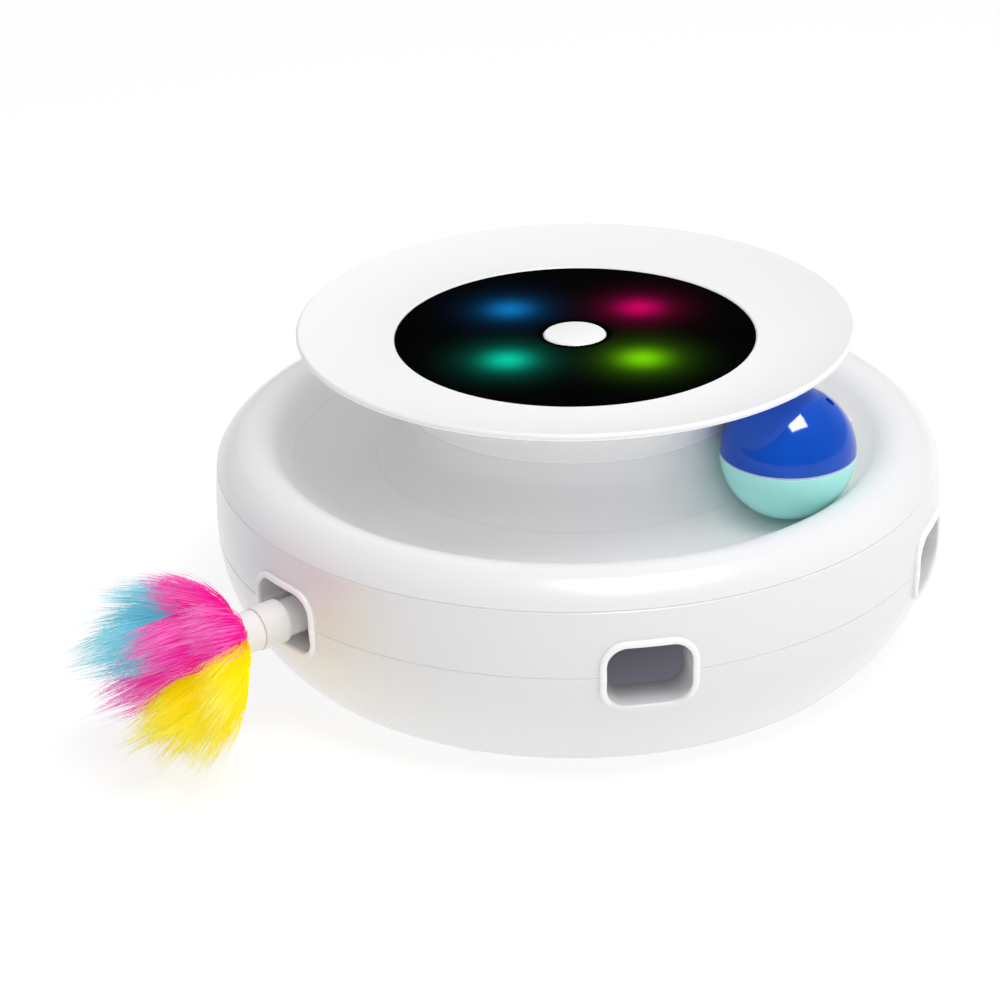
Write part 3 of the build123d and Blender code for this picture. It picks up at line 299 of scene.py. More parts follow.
# %% Glossy white shell
SHELL_WHITE = (0.80, 0.80, 0.81)
# real dust in the parting lines, and painted shade far down the tunnels
DUST_AND_SHADE = (0.30, 0.29, 0.29)
# painted glow on the inner faces of the case
PAINTED_INNER_GLOW = (0.072, 0.072, 0.092)
FLOW_SIZE, FLOW_TINT = 60 * MM, 0.015
PEEL_SIZE, PEEL_DEPTH = 2.5 * MM, 0.012 * MM
SCUFF_SIZE, SCUFF_STRETCH = 5 * MM, (1, 1, 0.25)
SEAM_HALF, SEAM_FADED = 0.15 * MM, 0.45 * MM
LIP_START_R, LIP_FULL_R = BODY_R + 0.1 * MM, BODY_R + 0.8 * MM
MOUTH_R = BODY_R - 4 * MM
RIM_LOW, RIM_HIGH = 66 * MM, 78 * MM
# painted highlight: the lips round the peep holes are made whiter
LIP_HIGHLIGHT = 1.17
# the seam share is real dust; the tunnel share is painted shade
SEAM_DUST, TUNNEL_SHADE = 0.06, 0.8
# painted glow along the outer parting lines
SEAM_PAINTED_GLOW = 0.09
SHELL_ROUGH, FLOW_ROUGH, SCUFF_ROUGH = 0.19, 0.06, 0.04


def shell_finish():
    material, wire, shader = new_finish("glossy_white_shell", IOR=1.5, Emission_Strength=1.0)
    flow = grain(wire, FLOW_SIZE, 3.0)
    height, radius = height_on_piece(wire), off_axis(wire)
    in_seam = 0
    for seam in SEAM_HEIGHTS:
        in_seam = in_seam + (1 - ease(wire, abs(height - seam), SEAM_HALF, SEAM_FADED))
    by_holes = between(wire, height, TUNNEL_LOW, TUNNEL_HIGH)
    lip = ease(wire, radius, LIP_START_R, LIP_FULL_R) * by_holes
    # painted shade: the tunnels darken towards their inner ends
    deep = (1 - ease(wire, radius, TUNNEL_END_R, MOUTH_R)) * by_holes
    tinted = blend_colours(wire, flow, opaque(SHELL_WHITE, 1 - FLOW_TINT), opaque(SHELL_WHITE, 1 + FLOW_TINT))
    # painted highlight on the lips round the peep holes
    lit_lips = blend_colours(wire, lip, tinted, opaque(SHELL_WHITE, LIP_HIGHLIGHT))
    dust_and_tunnel_shade = in_seam * SEAM_DUST + deep * TUNNEL_SHADE
    feed(blend_colours(wire, dust_and_tunnel_shade, lit_lips, opaque(DUST_AND_SHADE)), shader, "Base Color")
    scuffs = grain(wire, SCUFF_SIZE, 4.0, SCUFF_STRETCH) * between(wire, height, RIM_LOW, RIM_HIGH)
    feed(SHELL_ROUGH + flow * FLOW_ROUGH + scuffs * SCUFF_ROUGH, shader, "Roughness")
    feed(bump(wire, grain(wire, PEEL_SIZE), PEEL_DEPTH), shader, "Normal")
    # painted glow: the inner faces and the parting lines give off light
    inner_glow = blend_colours(wire, indoors(wire), opaque(DARK), opaque(PAINTED_INNER_GLOW))
    outdoors = ease(wire, radius, TUNNEL_END_R, TUNNEL_END_R + SOFT_EDGE)
    lit = blend_colours(wire, in_seam * outdoors * SEAM_PAINTED_GLOW, inner_glow, opaque(WHITE), "ADD")
    feed(lit, shader, "Emission Color")
    return material


finishes["white_shell"] = shell_finish()
print("shell finish ready")

# %% [markdown]
# ## Satin saucer and the white small parts
#
# The saucer's mould was spark eroded, which leaves an even fine grain and a satin sheen instead of a mirror. Its dish
# is thin, so the lamp above would shine through it; a painted glow on its underside stands in for that light and
# lights the track. The push button and the wand come out of polished moulds; a finger dulls the button's middle over
# time.

# %% Satin saucer and white small parts
SAUCER_WHITE, SMALL_WHITE = (0.86, 0.86, 0.86), (0.85, 0.85, 0.855)
# painted glow on the saucer's underside, standing in for lamp light through the dish
SAUCER_UNDERSIDE_GLOW = (0.26, 0.26, 0.26)
CLOUD_SIZE, CLOUD_TINT = 45 * MM, 0.01
SPARK_SIZE, SPARK_DEPTH = 0.55 * MM, 0.01 * MM
# the underside glow is painted; it stands in for the lamp shining through the dish
FACES_DOWN = (0.2, 0.7)  # how squarely the saucer looks down before the lamp shines through it
BUTTON_WORN_R, BUTTON_FULLY_WORN_R = 7 * MM, 1.4 * MM
WEAR_SIZE, RUB_SIZE = 1.5 * MM, 4 * MM
RUBBED = (0.45, 0.7)
POLISH_DEPTH = 0.006 * MM
BUTTON_PEEL, WAND_PEEL = 1.2 * MM, 0.9 * MM
BUTTON_FRESH, BUTTON_WORN, WAND_RUBBED = 1.03, 0.99, 0.97  # times the small parts' white
SAUCER_ROUGH, CLOUD_ROUGH, SPARK_ROUGH = 0.36, 0.08, 0.06
BUTTON_ROUGH, WORN_ROUGH = 0.14, 0.2
WAND_ROUGH, RUBBED_ROUGH = 0.2, 0.14


def saucer_finish():
    material, wire, shader = new_finish("satin_white_saucer", IOR=1.48, Emission_Strength=1.0)
    cloud = grain(wire, CLOUD_SIZE, 3.0)
    dull, bright = opaque(SAUCER_WHITE, 1 - CLOUD_TINT), opaque(SAUCER_WHITE, 1 + CLOUD_TINT)
    feed(blend_colours(wire, cloud, dull, bright), shader, "Base Color")
    spark = grain(wire, SPARK_SIZE, 3.0)
    feed(SAUCER_ROUGH + cloud * CLOUD_ROUGH + spark * SPARK_ROUGH, shader, "Roughness")
    feed(bump(wire, spark, SPARK_DEPTH), shader, "Normal")
    # painted glow on the faces that look down
    facing = wire.node("NewGeometry", None, None, "Normal")
    underside = ease(wire, 0 - wire.node("SeparateXYZ", None, {0: facing}, "Z"), *FACES_DOWN)
    feed(blend_colours(wire, underside, opaque(DARK), opaque(SAUCER_UNDERSIDE_GLOW)), shader, "Emission Color")
    return material


def button_finish():
    material, wire, shader = new_finish("white_push_button", IOR=1.5)
    by_finger = 1 - ease(wire, off_axis(wire), BUTTON_FULLY_WORN_R, BUTTON_WORN_R)
    worn = by_finger * grain(wire, WEAR_SIZE, 5.0)
    fresh, dulled = opaque(SMALL_WHITE, BUTTON_FRESH), opaque(SMALL_WHITE, BUTTON_WORN)
    feed(blend_colours(wire, worn, fresh, dulled), shader, "Base Color")
    feed(BUTTON_ROUGH + worn * WORN_ROUGH, shader, "Roughness")
    feed(bump(wire, grain(wire, BUTTON_PEEL), POLISH_DEPTH), shader, "Normal")
    return material


def wand_finish():
    material, wire, shader = new_finish("wand_white", IOR=1.5)
    rubbed = ease(wire, grain(wire, RUB_SIZE, 5.0), *RUBBED)
    feed(blend_colours(wire, rubbed, opaque(SMALL_WHITE), opaque(SMALL_WHITE, WAND_RUBBED)), shader, "Base Color")
    feed(WAND_ROUGH + rubbed * RUBBED_ROUGH, shader, "Roughness")
    feed(bump(wire, grain(wire, WAND_PEEL), POLISH_DEPTH), shader, "Normal")
    return material


finishes["white_satin"] = saucer_finish()
finishes["white_button"] = button_finish()
finishes["wand_white"] = wand_finish()
print("white finishes ready")

# %% [markdown]
# ## Smoked panel with four lights
#
# The panel is nearly opaque black plastic. Each light behind it shows as a soft round glow that fades to black, which
# is a bell curve with a faint wider one under it. Real glowing pieces under real tinted plastic would need thousands
# of samples to settle, so the glow is written on the panel, centred over the frame's own light pieces.

# %% Smoked panel
PANEL_BLACK = (0.0004, 0.0004, 0.0005)
SMUDGE_SIZE, SMUDGED = 18 * MM, (0.45, 0.75)
WAVE_SIZE, WAVE_DEPTH = 6 * MM, 0.004 * MM
PANEL_ROUGH, SMUDGE_ROUGH, SMUDGE_PALER = 0.12, 0.12, 1.6
GLOW_CORE, GLOW_HALO = 4.9 * MM, 9.5 * MM
HALO_SHARE = 0.16
BUTTON_RING_IN, BUTTON_RING_OUT = 11.2 * MM, 13.5 * MM
GLOWS = {
    "light_blue": (0.003, 0.165, 0.460),
    "light_magenta": (0.555, 0.0004, 0.110),
    "light_teal": (0.002, 0.550, 0.355),
    "light_lime": (0.180, 0.625, 0.002),
}


def bell_curve(wire, square, spread):
    """Height of a bell curve of this spread, from the square of the distance to its middle."""
    return wire.math("EXPONENT", square * (-0.5 / spread ** 2))


def panel_finish():
    material, wire, shader = new_finish("smoked_panel", IOR=1.45, Specular_IOR_Level=0.001, Emission_Strength=1.0)
    smudge = ease(wire, grain(wire, SMUDGE_SIZE, 4.0), *SMUDGED)
    feed(blend_colours(wire, smudge, opaque(PANEL_BLACK), opaque(PANEL_BLACK, SMUDGE_PALER)), shader, "Base Color")
    feed(PANEL_ROUGH + smudge * SMUDGE_ROUGH, shader, "Roughness")
    feed(bump(wire, grain(wire, WAVE_SIZE), WAVE_DEPTH), shader, "Normal")
    x = wire.node("SeparateXYZ", None, {0: place_on_piece(wire)}, "X")
    y = Wire(wire.tree, x.socket.node.outputs["Y"])
    clear_of_button = ease(wire, off_axis(wire), BUTTON_RING_IN, BUTTON_RING_OUT)
    total = opaque(DARK)
    for light, colour in GLOWS.items():
        low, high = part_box(light)
        across, along = x - (low.x + high.x) / 2, y - (low.y + high.y) / 2
        square = across * across + along * along
        core, halo = bell_curve(wire, square, GLOW_CORE), bell_curve(wire, square, GLOW_HALO)
        share = (core * (1 - HALO_SHARE) + halo * HALO_SHARE) * clear_of_button
        total = blend_colours(wire, share, total, opaque(colour), "ADD")
    feed(total, shader, "Emission Color")
    return material


finishes["smoked_black"] = panel_finish()
print("panel glows over", ", ".join(GLOWS))

# %% [markdown]
# ## Ball
#
# The ball is two half shells, blue and mint, pressed together. They are glossy, with the faint swirl that coloured
# granules leave when they melt, and hairline scratches from claws. The thin mint shell has a painted glow that stands
# in for the light behind it, and its edge, pressed white, shows as a pale line between the colours.

# %% Ball
BALL_BLUE = (0.003, 0.072, 0.49)
BALL_MINT = (0.36, 0.775, 0.735)
PRESSED = (0.85, 0.95, 0.95)
# painted glow of the mint half
MINT_PAINTED_GLOW = 0.08
SWIRL_SIZE, SWIRL_STRETCH = 14 * MM, (1, 1.6, 0.5)
SCRATCH_SIZE, SCRATCH_STRETCH, SCRATCHED = 0.8 * MM, (0.12, 1.5, 1), (0.62, 0.72)
SWIRL_DARK, SWIRL_LIGHT = 0.85, 1.12
BALL_ROUGH, SWIRL_ROUGH, SCRATCH_ROUGH = 0.07, 0.04, 0.10
BALL_PEEL, BALL_DEPTH, SCRATCH_SHARE = 3 * MM, 0.006 * MM, 0.2
EDGE_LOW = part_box("ball_upper")[0].z
EDGE_HALF, EDGE_FADED, EDGE_PALE = 0.25 * MM, 0.6 * MM, 0.6


def ball_finish(name, colour, shine):
    # shine sets a painted glow in the shell's own colour
    material, wire, shader = new_finish(name, IOR=1.5, Specular_IOR_Level=0.3,
                                        Emission_Color=opaque(colour), Emission_Strength=shine)
    swirl = grain(wire, SWIRL_SIZE, 5.0, SWIRL_STRETCH)
    swirled = blend_colours(wire, swirl, opaque(colour, SWIRL_DARK), opaque(colour, SWIRL_LIGHT))
    edge = 1 - ease(wire, abs(height_on_piece(wire) - EDGE_LOW), EDGE_HALF, EDGE_FADED)
    feed(blend_colours(wire, edge * EDGE_PALE, swirled, opaque(PRESSED)), shader, "Base Color")
    scratch = ease(wire, grain(wire, SCRATCH_SIZE, 4.0, SCRATCH_STRETCH), *SCRATCHED)
    feed(BALL_ROUGH + swirl * SWIRL_ROUGH + scratch * SCRATCH_ROUGH, shader, "Roughness")
    feed(bump(wire, grain(wire, BALL_PEEL) + scratch * SCRATCH_SHARE, BALL_DEPTH), shader, "Normal")
    return material


finishes["ball_blue"] = ball_finish("ball_blue_gloss", BALL_BLUE, 0.0)
finishes["ball_mint"] = ball_finish("ball_mint_gloss", BALL_MINT, MINT_PAINTED_GLOW)
print("ball finishes ready")

# %% [markdown]
# ## Milky sleeve
#
# The tube that holds the refill is soft milky plastic. A little light passes into it, so its shaded side stays bright.

# %% Milky sleeve
SLEEVE_MILKY = (0.80, 0.80, 0.785)
MILK_DEPTH = (1.5 * MM, 1.3 * MM, 1.1 * MM)
MILK_CLOUD, MILK_DARK, MILK_LIGHT = 3 * MM, 0.96, 1.03
SLEEVE_ROUGH, MILK_ROUGH = 0.26, 0.14
SLEEVE_PEEL, SLEEVE_DEPTH = 0.7 * MM, 0.008 * MM


def sleeve_finish():
    material, wire, shader = new_finish("milky_sleeve", IOR=1.45, Subsurface_Weight=0.35, Subsurface_Scale=1.0,
                                        Subsurface_Radius=MILK_DEPTH)
    cloud = grain(wire, MILK_CLOUD, 3.0)
    dark, light = opaque(SLEEVE_MILKY, MILK_DARK), opaque(SLEEVE_MILKY, MILK_LIGHT)
    feed(blend_colours(wire, cloud, dark, light), shader, "Base Color")
    feed(SLEEVE_ROUGH + cloud * MILK_ROUGH, shader, "Roughness")
    feed(bump(wire, grain(wire, SLEEVE_PEEL), SLEEVE_DEPTH), shader, "Normal")
    return material


finishes["sleeve_milky"] = sleeve_finish()
print("sleeve finish ready")

# %% [markdown]
# ## Works inside the case
#
# Nobody sees the works until the case is opened, but each has its own look: ivory gears with flow lines, boards with
# copper traces under green lacquer, brushed steel, yellow brass, a shrink-wrapped cell and rubber. One routine covers
# the plain plastics and metals, because they differ only in colour, gloss, grain size and how the grain is stretched.

# %% Works inside the case
STEEL, BRASS = (0.52, 0.52, 0.53), (0.66, 0.44, 0.13)
IVORY, BLACK, RUBBER = (0.70, 0.69, 0.64), (0.022, 0.022, 0.024), (0.10, 0.10, 0.10)
RED, WRAP_BLUE = (0.46, 0.02, 0.02), (0.02, 0.16, 0.42)
LACQUER, COPPER, PAD = (0.012, 0.15, 0.05), (0.05, 0.30, 0.11), (0.62, 0.60, 0.55)
TRACE_PITCH, TRACE_WIDE, TRACE_DEPTH = 5 * MM, 0.35 * MM, 0.03 * MM
TRACE_RUN, TRACE_ROW = 1.6 * TRACE_PITCH, 0.5 * TRACE_PITCH
PAD_EDGE, PAD_METAL = (0.13, 0.17), 0.9  # the edge in trace pitches
LACQUER_ROUGH, LACQUER_HAZE, HAZE_SIZE = 0.3, 0.12, 2 * MM
GRAIN_ROUGH = 0.15


def grained_finish(name, colour, gloss, size, depth, stretch=(1, 1, 1), contrast=0.12, **values):
    material, wire, shader = new_finish(name, **values)
    rough = grain(wire, size, 4.0, stretch)
    feed(blend_colours(wire, rough, opaque(colour, 1 - contrast), opaque(colour, 1 + contrast)), shader, "Base Color")
    feed(gloss + rough * GRAIN_ROUGH, shader, "Roughness")
    feed(bump(wire, rough, depth), shader, "Normal")
    return material


def board_finish():
    material, wire, shader = new_finish("green_board")
    where = place_on_piece(wire)
    bricks = {"Vector": where, "Scale": 1.0, "Brick Width": TRACE_RUN, "Row Height": TRACE_ROW,
              "Mortar Size": TRACE_WIDE, "Mortar Smooth": 0.1}
    traces = wire.node("TexBrick", None, bricks, "Fac")
    dots = wire.node("TexVoronoi", None, {"Vector": where, "Scale": 1 / TRACE_PITCH}, "Distance")
    pads = 1 - ease(wire, dots, *PAD_EDGE)
    lacquered = blend_colours(wire, traces, opaque(LACQUER), opaque(COPPER))
    feed(blend_colours(wire, pads, lacquered, opaque(PAD)), shader, "Base Color")
    feed(pads * PAD_METAL, shader, "Metallic")
    feed(LACQUER_ROUGH + grain(wire, HAZE_SIZE) * LACQUER_HAZE, shader, "Roughness")
    feed(bump(wire, traces + pads, TRACE_DEPTH), shader, "Normal")
    return material


finishes["gear_plastic"] = grained_finish("ivory_gear_plastic", IVORY, 0.32, 8 * MM, 0.01 * MM, contrast=0.05)
finishes["black_plastic"] = grained_finish("black_plastic", BLACK, 0.40, 0.6 * MM, 0.01 * MM)
finishes["steel"] = grained_finish("brushed_steel", STEEL, 0.22, 2 * MM, 0.006 * MM, (0.1, 1, 1), Metallic=1.0)
finishes["brass"] = grained_finish("yellow_brass", BRASS, 0.16, 3 * MM, 0.004 * MM, (1, 1, 0.2), Metallic=1.0)
finishes["cell_wrap"] = grained_finish("shrink_wrap", WRAP_BLUE, 0.18, 5 * MM, 0.05 * MM, (1, 0.3, 1))
finishes["lead_red"] = grained_finish("red_lead", RED, 0.30, 2 * MM, 0.01 * MM)
finishes["rubber"] = grained_finish("grey_rubber", RUBBER, 0.70, 0.5 * MM, 0.02 * MM)
finishes["board_green"] = board_finish()
print(len(finishes), "finishes so far")

# %% [markdown]
# The four lights are clear domes tinted in their colour. They shine, brightest at the crown where the chip sits.

# %% Lights
LIGHT_BOTTOM, LIGHT_TOP = (corner.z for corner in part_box("light_blue"))
FOOT_SHINE, TINT_DARK, TINT_SIZE = 0.3, 0.8, 2 * MM
DOME_ROUGH, DOME_HAZE, DOME_HAZE_SIZE = 0.08, 0.08, 1 * MM


def light_finish(name, colour):
    material, wire, shader = new_finish(name, Emission_Strength=1.0, IOR=1.5)
    crown = ease(wire, height_on_piece(wire), LIGHT_BOTTOM, LIGHT_TOP)
    feed(blend_colours(wire, crown, opaque(colour, FOOT_SHINE), opaque(colour)), shader, "Emission Color")
    tint = grain(wire, TINT_SIZE)
    feed(blend_colours(wire, tint, opaque(colour, TINT_DARK), opaque(colour)), shader, "Base Color")
    feed(DOME_ROUGH + grain(wire, DOME_HAZE_SIZE) * DOME_HAZE, shader, "Roughness")
    return material


for light, colour in GLOWS.items():
    finishes[light.replace("light", "glow")] = light_finish(light + "_dome", colour)
print(len(finishes), "finishes in all")

# %% [markdown]
# Every finish is named after a material slot of the part, so one pass over the part's list dresses every CAD piece.

# %% Dress the CAD pieces
for piece in frame["record"]["subparts"]:
    finish = finishes.get(piece["material_slot"])
    if finish:
        nodes[piece["node"]].data.materials.clear()
        nodes[piece["node"]].data.materials.append(finish)

# %% [markdown]
# ## Feather tuft
#
# The tuft is eleven dyed down plumes tied into a ferrule. A plume has a thin quill, and from it grow barbs, soft hairs
# that leave the quill at a wide angle, bend towards its tip and cling together in pointed locks. A flat card with a
# feather picture would look thin from the side and could not be seen from every direction, and a hair system would not
# survive export, so each barb is a real tapered strand with three sides. The plumes stand within a few degrees of the
# CAD plumes.

# %% Feather places
WAND_TURN = math.radians(240)
ALONG = Vector((math.cos(WAND_TURN), math.sin(WAND_TURN), 0))
ASIDE = UP.cross(ALONG)
ferrule_low, ferrule_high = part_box("ferrule")
ferrule_end = max(ALONG.dot(v.co) for v in nodes["ferrule"].data.vertices)
TUFT_ROOT = ALONG * ferrule_end + UP * (ferrule_low.z + ferrule_high.z) / 2
QUILL_OFFSET, QUILL_SINK = 2.6 * MM, 1.2 * MM

# turn round the wand and lean away from it in degrees, then length and half width in millimetres
PLUMES = {
    "yellow": [(0, 38, 44, 6.8), (315, 40, 46, 7.0), (270, 37, 45, 7.0), (292, 16, 52, 6.0)],
    "pink": [(45, 38, 43, 6.8), (92, 39, 44, 7.0), (221, 34, 50, 6.8), (52, 16, 53, 6.0)],
    "blue": [(139, 35, 46, 6.8), (178, 37, 48, 6.8), (172, 16, 55, 6.0)],
}
print("tuft starts at", [round(c, 4) for c in TUFT_ROOT])

# %% [markdown]
# The dye is strong near the quill and thin at the tips, and where pink and yellow plumes are tied side by side their
# dyes have run into orange. Two numbers stored on every vertex carry this: how far out it is, and the lock's own shade.
# Light goes through down and comes out of its shaded side; a painted glow of the strands' own colour stands in for it.

# %% Feather finishes
# painted glow of the strands in their own dye
DOWN_PAINTED_GLOW = 0.28
DYE_SPREAD = 0.4
LOCK_DARK, LOCK_SPREAD = 0.78, 0.22
DOWN_ROUGH, LOCK_ROUGH = 0.55, 0.2

# how far out, then the dye there
PLUME_DYES = {
    "yellow": [(0.0, (1.0, 0.55, 0.01)), (0.12, (1.0, 0.80, 0.0)),
               (0.6, (1.0, 0.88, 0.006)), (1.0, (0.95, 0.88, 0.22))],
    "pink": [(0.0, (1.0, 0.24, 0.05)), (0.1, (0.97, 0.02, 0.32)),
             (0.4, (0.94, 0.01, 0.46)), (1.0, (0.86, 0.32, 0.66))],
    "blue": [(0.0, (0.14, 0.50, 0.72)), (0.4, (0.17, 0.60, 0.76)),
             (0.7, (0.25, 0.68, 0.80)), (1.0, (0.45, 0.79, 0.86))],
}


def plume_finish(colour):
    material, wire, shader = new_finish("plume_" + colour, IOR=1.45, Specular_IOR_Level=0.1,
                                        Emission_Strength=DOWN_PAINTED_GLOW)
    reach = wire.node("Attribute", {"attribute_name": "reach"}, None, "Fac")
    shade = wire.node("Attribute", {"attribute_name": "shade"}, None, "Fac")
    stops = [(place, opaque(dye)) for place, dye in PLUME_DYES[colour]]
    dyed = wire.node("ValToRGB", {"stops": stops}, {0: reach + (shade - 0.5) * DYE_SPREAD}, "Color")
    feed(blend_colours(wire, LOCK_DARK + shade * LOCK_SPREAD, opaque(DARK), dyed), shader, "Base Color")
    # painted glow in the dye colour
    feed(dyed, shader, "Emission Color")
    feed(DOWN_ROUGH + shade * LOCK_ROUGH, shader, "Roughness")
    return material


print("dyes for", ", ".join(PLUME_DYES))


# %% [markdown]
# One strand is a curve with a few rings of three points round it, closed to a point at the tip. All strands of a plume
# go into one mesh, and each has its own small cell of the texture square. Every random choice comes from one seeded
# source, so the tuft is the same each time.

# %% Feather strands
RINGS = 6
SIDES = 3
BARB_HALF, BARB_FLAT = 0.24 * MM, 0.5
QUILL_HALF, QUILL_FLAT = 0.5 * MM, 0.8
ROOT_SLIM, TIP_SLIM = 0.6, 0.72
SWELL_PACE = 3  # a strand is at its thickest one third of the way out
CELL_FILL = 0.9
dice = random.Random(21)


class Strands:
    """Collects tapered strands, with two numbers per vertex, for one mesh."""

    def __init__(self):
        self.points, self.faces, self.reach, self.shade, self.cells = [], [], [], [], []
        self.count = 0

    def add(self, curve, half, flat, side, shade):
        """curve is a list of (point, reach); half is the strand's half width at its thickest."""
        first, last = len(self.points), len(curve) - 1
        for i, (point, reach) in enumerate(curve[:-1]):
            ahead = (curve[i + 1][0] - curve[max(i - 1, 0)][0]).normalized()
            across = (side - ahead * side.dot(ahead)).normalized()
            over = ahead.cross(across)
            swell = ROOT_SLIM + (1 - ROOT_SLIM) * min(1.0, SWELL_PACE * i / last)
            wide = half * swell * (1 - TIP_SLIM * (i / last) ** 2)
            for corner in range(SIDES):
                turn = math.tau * corner / SIDES
                offset = across * (wide * math.cos(turn)) + over * (wide * flat * math.sin(turn))
                self.point(point + offset, reach, shade)
        self.point(*curve[-1], shade)
        self.skin(first, last)
        self.count += 1

    def point(self, place, reach, shade):
        self.points.append(place)
        self.reach.append(reach)
        self.shade.append(shade)

    def skin(self, first, last):
        """Close the root, join the rings and draw the last ring to the tip."""
        self.face((first + 2, first + 1, first), ((0.66, 0), (0.33, 0), (0, 0)))
        tip = first + SIDES * last
        for i in range(last):
            low, high = i / last, (i + 1) / last
            for corner in range(SIDES):
                a, b = first + SIDES * i + corner, first + SIDES * i + (corner + 1) % SIDES
                left, right = corner / SIDES, (corner + 1) / SIDES
                if i < last - 1:
                    cell = (left, low), (right, low), (right, high), (left, high)
                    self.face((a, b, b + SIDES, a + SIDES), cell)
                else:
                    self.face((a, b, tip), ((left, low), (right, low), (left, high)))

    def face(self, corners, cell):
        """Add a face, with each corner's place in the strand's own cell of the texture square."""
        self.faces.append(corners)
        self.cells.extend((self.count, u, v) for u, v in cell)

    def mesh(self, name):
        made = bpy.data.meshes.new(name)
        made.from_pydata(self.points, [], self.faces)
        for label, values in (("reach", self.reach), ("shade", self.shade)):
            made.attributes.new(label, "FLOAT", "POINT").data.foreach_set("value", values)
        side = math.ceil(math.sqrt(self.count))
        flat = []
        for strand, u, v in self.cells:
            flat += [(strand % side + CELL_FILL * u) / side, (strand // side + CELL_FILL * v) / side]
        made.uv_layers.new(name="OFBake").data.foreach_set("uv", flat)
        made.polygons.foreach_set("use_smooth", [True] * len(made.polygons))
        made.update()
        return made


def bend(start, first, second, share):
    """A point on a curve that leaves start along first and is pulled by second, more towards its end."""
    return start + first * share + second * (share * share)


print("strands have", RINGS, "rings of", SIDES, "points")


# %% [markdown]
# A plume leaves the ferrule steeply and bows over to its own direction, like water from a fountain. Its barbs start on
# the lower half of the quill and are combed along it in locks that end in a rounded head, wide enough to close the gaps
# to the next plumes. Barbs of one lock end at slightly different lengths, which makes the soft, wispy outline.

# %% Plumes
LOCKS = 56
BARBS = 10
QUILL_SHARE, QUILL_STEPS = 0.62, 10
QUILL_DYE, QUILL_DYE_RISE = 0.1, 0.4  # how far out in the dye a quill starts, and how much further it goes
BOW = math.radians(17)
ROUND_HEAD = 0.30
HEAD_ACROSS, HEAD_OVER = 1.55, 1.0
BARB_LOOSE, ROOT_LOOSE, BARB_TWIST = 0.95 * MM, 0.4, 0.3
SIDE_LEAVE, LEAVE_SHARE = 0.75, 0.9
REACH_FAR, REACH_ALONG = 0.62, 0.34  # what the way from the ferrule and the way along the barb add to the dye
STRAY_SHARE, STRAY_LENGTH, STRAY_SLIM = 0.06, (1.05, 1.16), 0.5
BARB_LENGTH, BARB_SLIM = (0.68, 1.05), (0.7, 1.1)
BARB_START = (0.02, 0.5)  # where on the quill a lock begins
GOLDEN_ANGLE = 2.39996
DROOP = {"yellow": 0.07, "pink": 0.01, "blue": 0.01}


def make_plume(colour, turn, lean, length, half):
    strands = Strands()
    turn, lean, length, half = math.radians(turn), math.radians(lean), length * MM, half * MM
    outward = ASIDE * math.cos(turn) + UP * math.sin(turn)
    way = ALONG * math.cos(lean) + outward * math.sin(lean)
    rise = ALONG * math.cos(lean + BOW) + outward * math.sin(lean + BOW)
    across = ALONG.cross(outward)
    over = across.cross(way)
    root = TUFT_ROOT + outward * QUILL_OFFSET - ALONG * QUILL_SINK
    lift = rise * (length * QUILL_SHARE)
    pull = way * (length * QUILL_SHARE) - lift
    quill = [(bend(root, lift, pull, i / QUILL_STEPS), QUILL_DYE + QUILL_DYE_RISE * i / QUILL_STEPS)
             for i in range(QUILL_STEPS + 1)]
    strands.add(quill, QUILL_HALF, QUILL_FLAT, across, 0.5)
    for lock in range(LOCKS):
        wide = math.sqrt((lock + 0.5) / LOCKS)
        spin = lock * GOLDEN_ANGLE
        aside = (across * (HEAD_ACROSS * math.cos(spin)) + over * (HEAD_OVER * math.sin(spin))) * wide
        end = root + way * (length * (1 - ROUND_HEAD * wide ** 2)) + aside * half - UP * (DROOP[colour] * length)
        base = bend(root, lift, pull, dice.uniform(*BARB_START))
        shade = dice.random()
        for barb in range(BARBS):
            tilt = Vector([dice.gauss(0, BARB_LOOSE) for _ in range(3)])
            start = base + tilt * ROOT_LOOSE
            stray = dice.random() < STRAY_SHARE
            goal = base + (end - base) * dice.uniform(*(STRAY_LENGTH if stray else BARB_LENGTH)) + tilt
            leave = (rise + aside * SIDE_LEAVE).normalized() * (LEAVE_SHARE * (goal - start).length)
            curve = []
            for ring in range(RINGS + 1):
                along = ring / RINGS
                point = bend(start, leave, goal - start - leave, along)
                far = REACH_FAR * (point - TUFT_ROOT).length / length + REACH_ALONG * along * along
                curve.append((point, far))
            slim = STRAY_SLIM if stray else dice.uniform(*BARB_SLIM)
            strands.add(curve, BARB_HALF * slim, BARB_FLAT, across + tilt * (BARB_TWIST / BARB_LOOSE), shade)
    return strands, outward


total_faces = 0
for colour, rows in PLUMES.items():
    finish = plume_finish(colour)
    for number, row in enumerate(rows, 1):
        strands, outward = make_plume(colour, *row)
        name = f"plume_{colour}_{number}"
        piece = bpy.data.objects.new(name, strands.mesh(name))
        bpy.context.scene.collection.objects.link(piece)
        piece.data.materials.append(finish)
        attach(piece, "refill")
        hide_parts("feather_" + colour)
        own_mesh(piece)
        total_faces += len(piece.data.polygons)
print("tuft has", total_faces, "faces")

# %% [markdown]
# ## Studio
#
# The photograph is a white product shot: one large soft light above and to the right of the toy, and white paper all
# round. The mirror image of that light on the ball told where it stood. A second lamp in its place, which only mirrors
# see, gives that image its brightness, and a third does so for the polished ball alone.
#
# The world is dimmer for lighting than for looking at, brighter on the right and, in mirrors, brighter behind the toy,
# so that the white surroundings show as white while the shell keeps its soft shading and the ball its deep blue. The
# paper floor shines a little by itself, which keeps the toy's shadow on it faint.

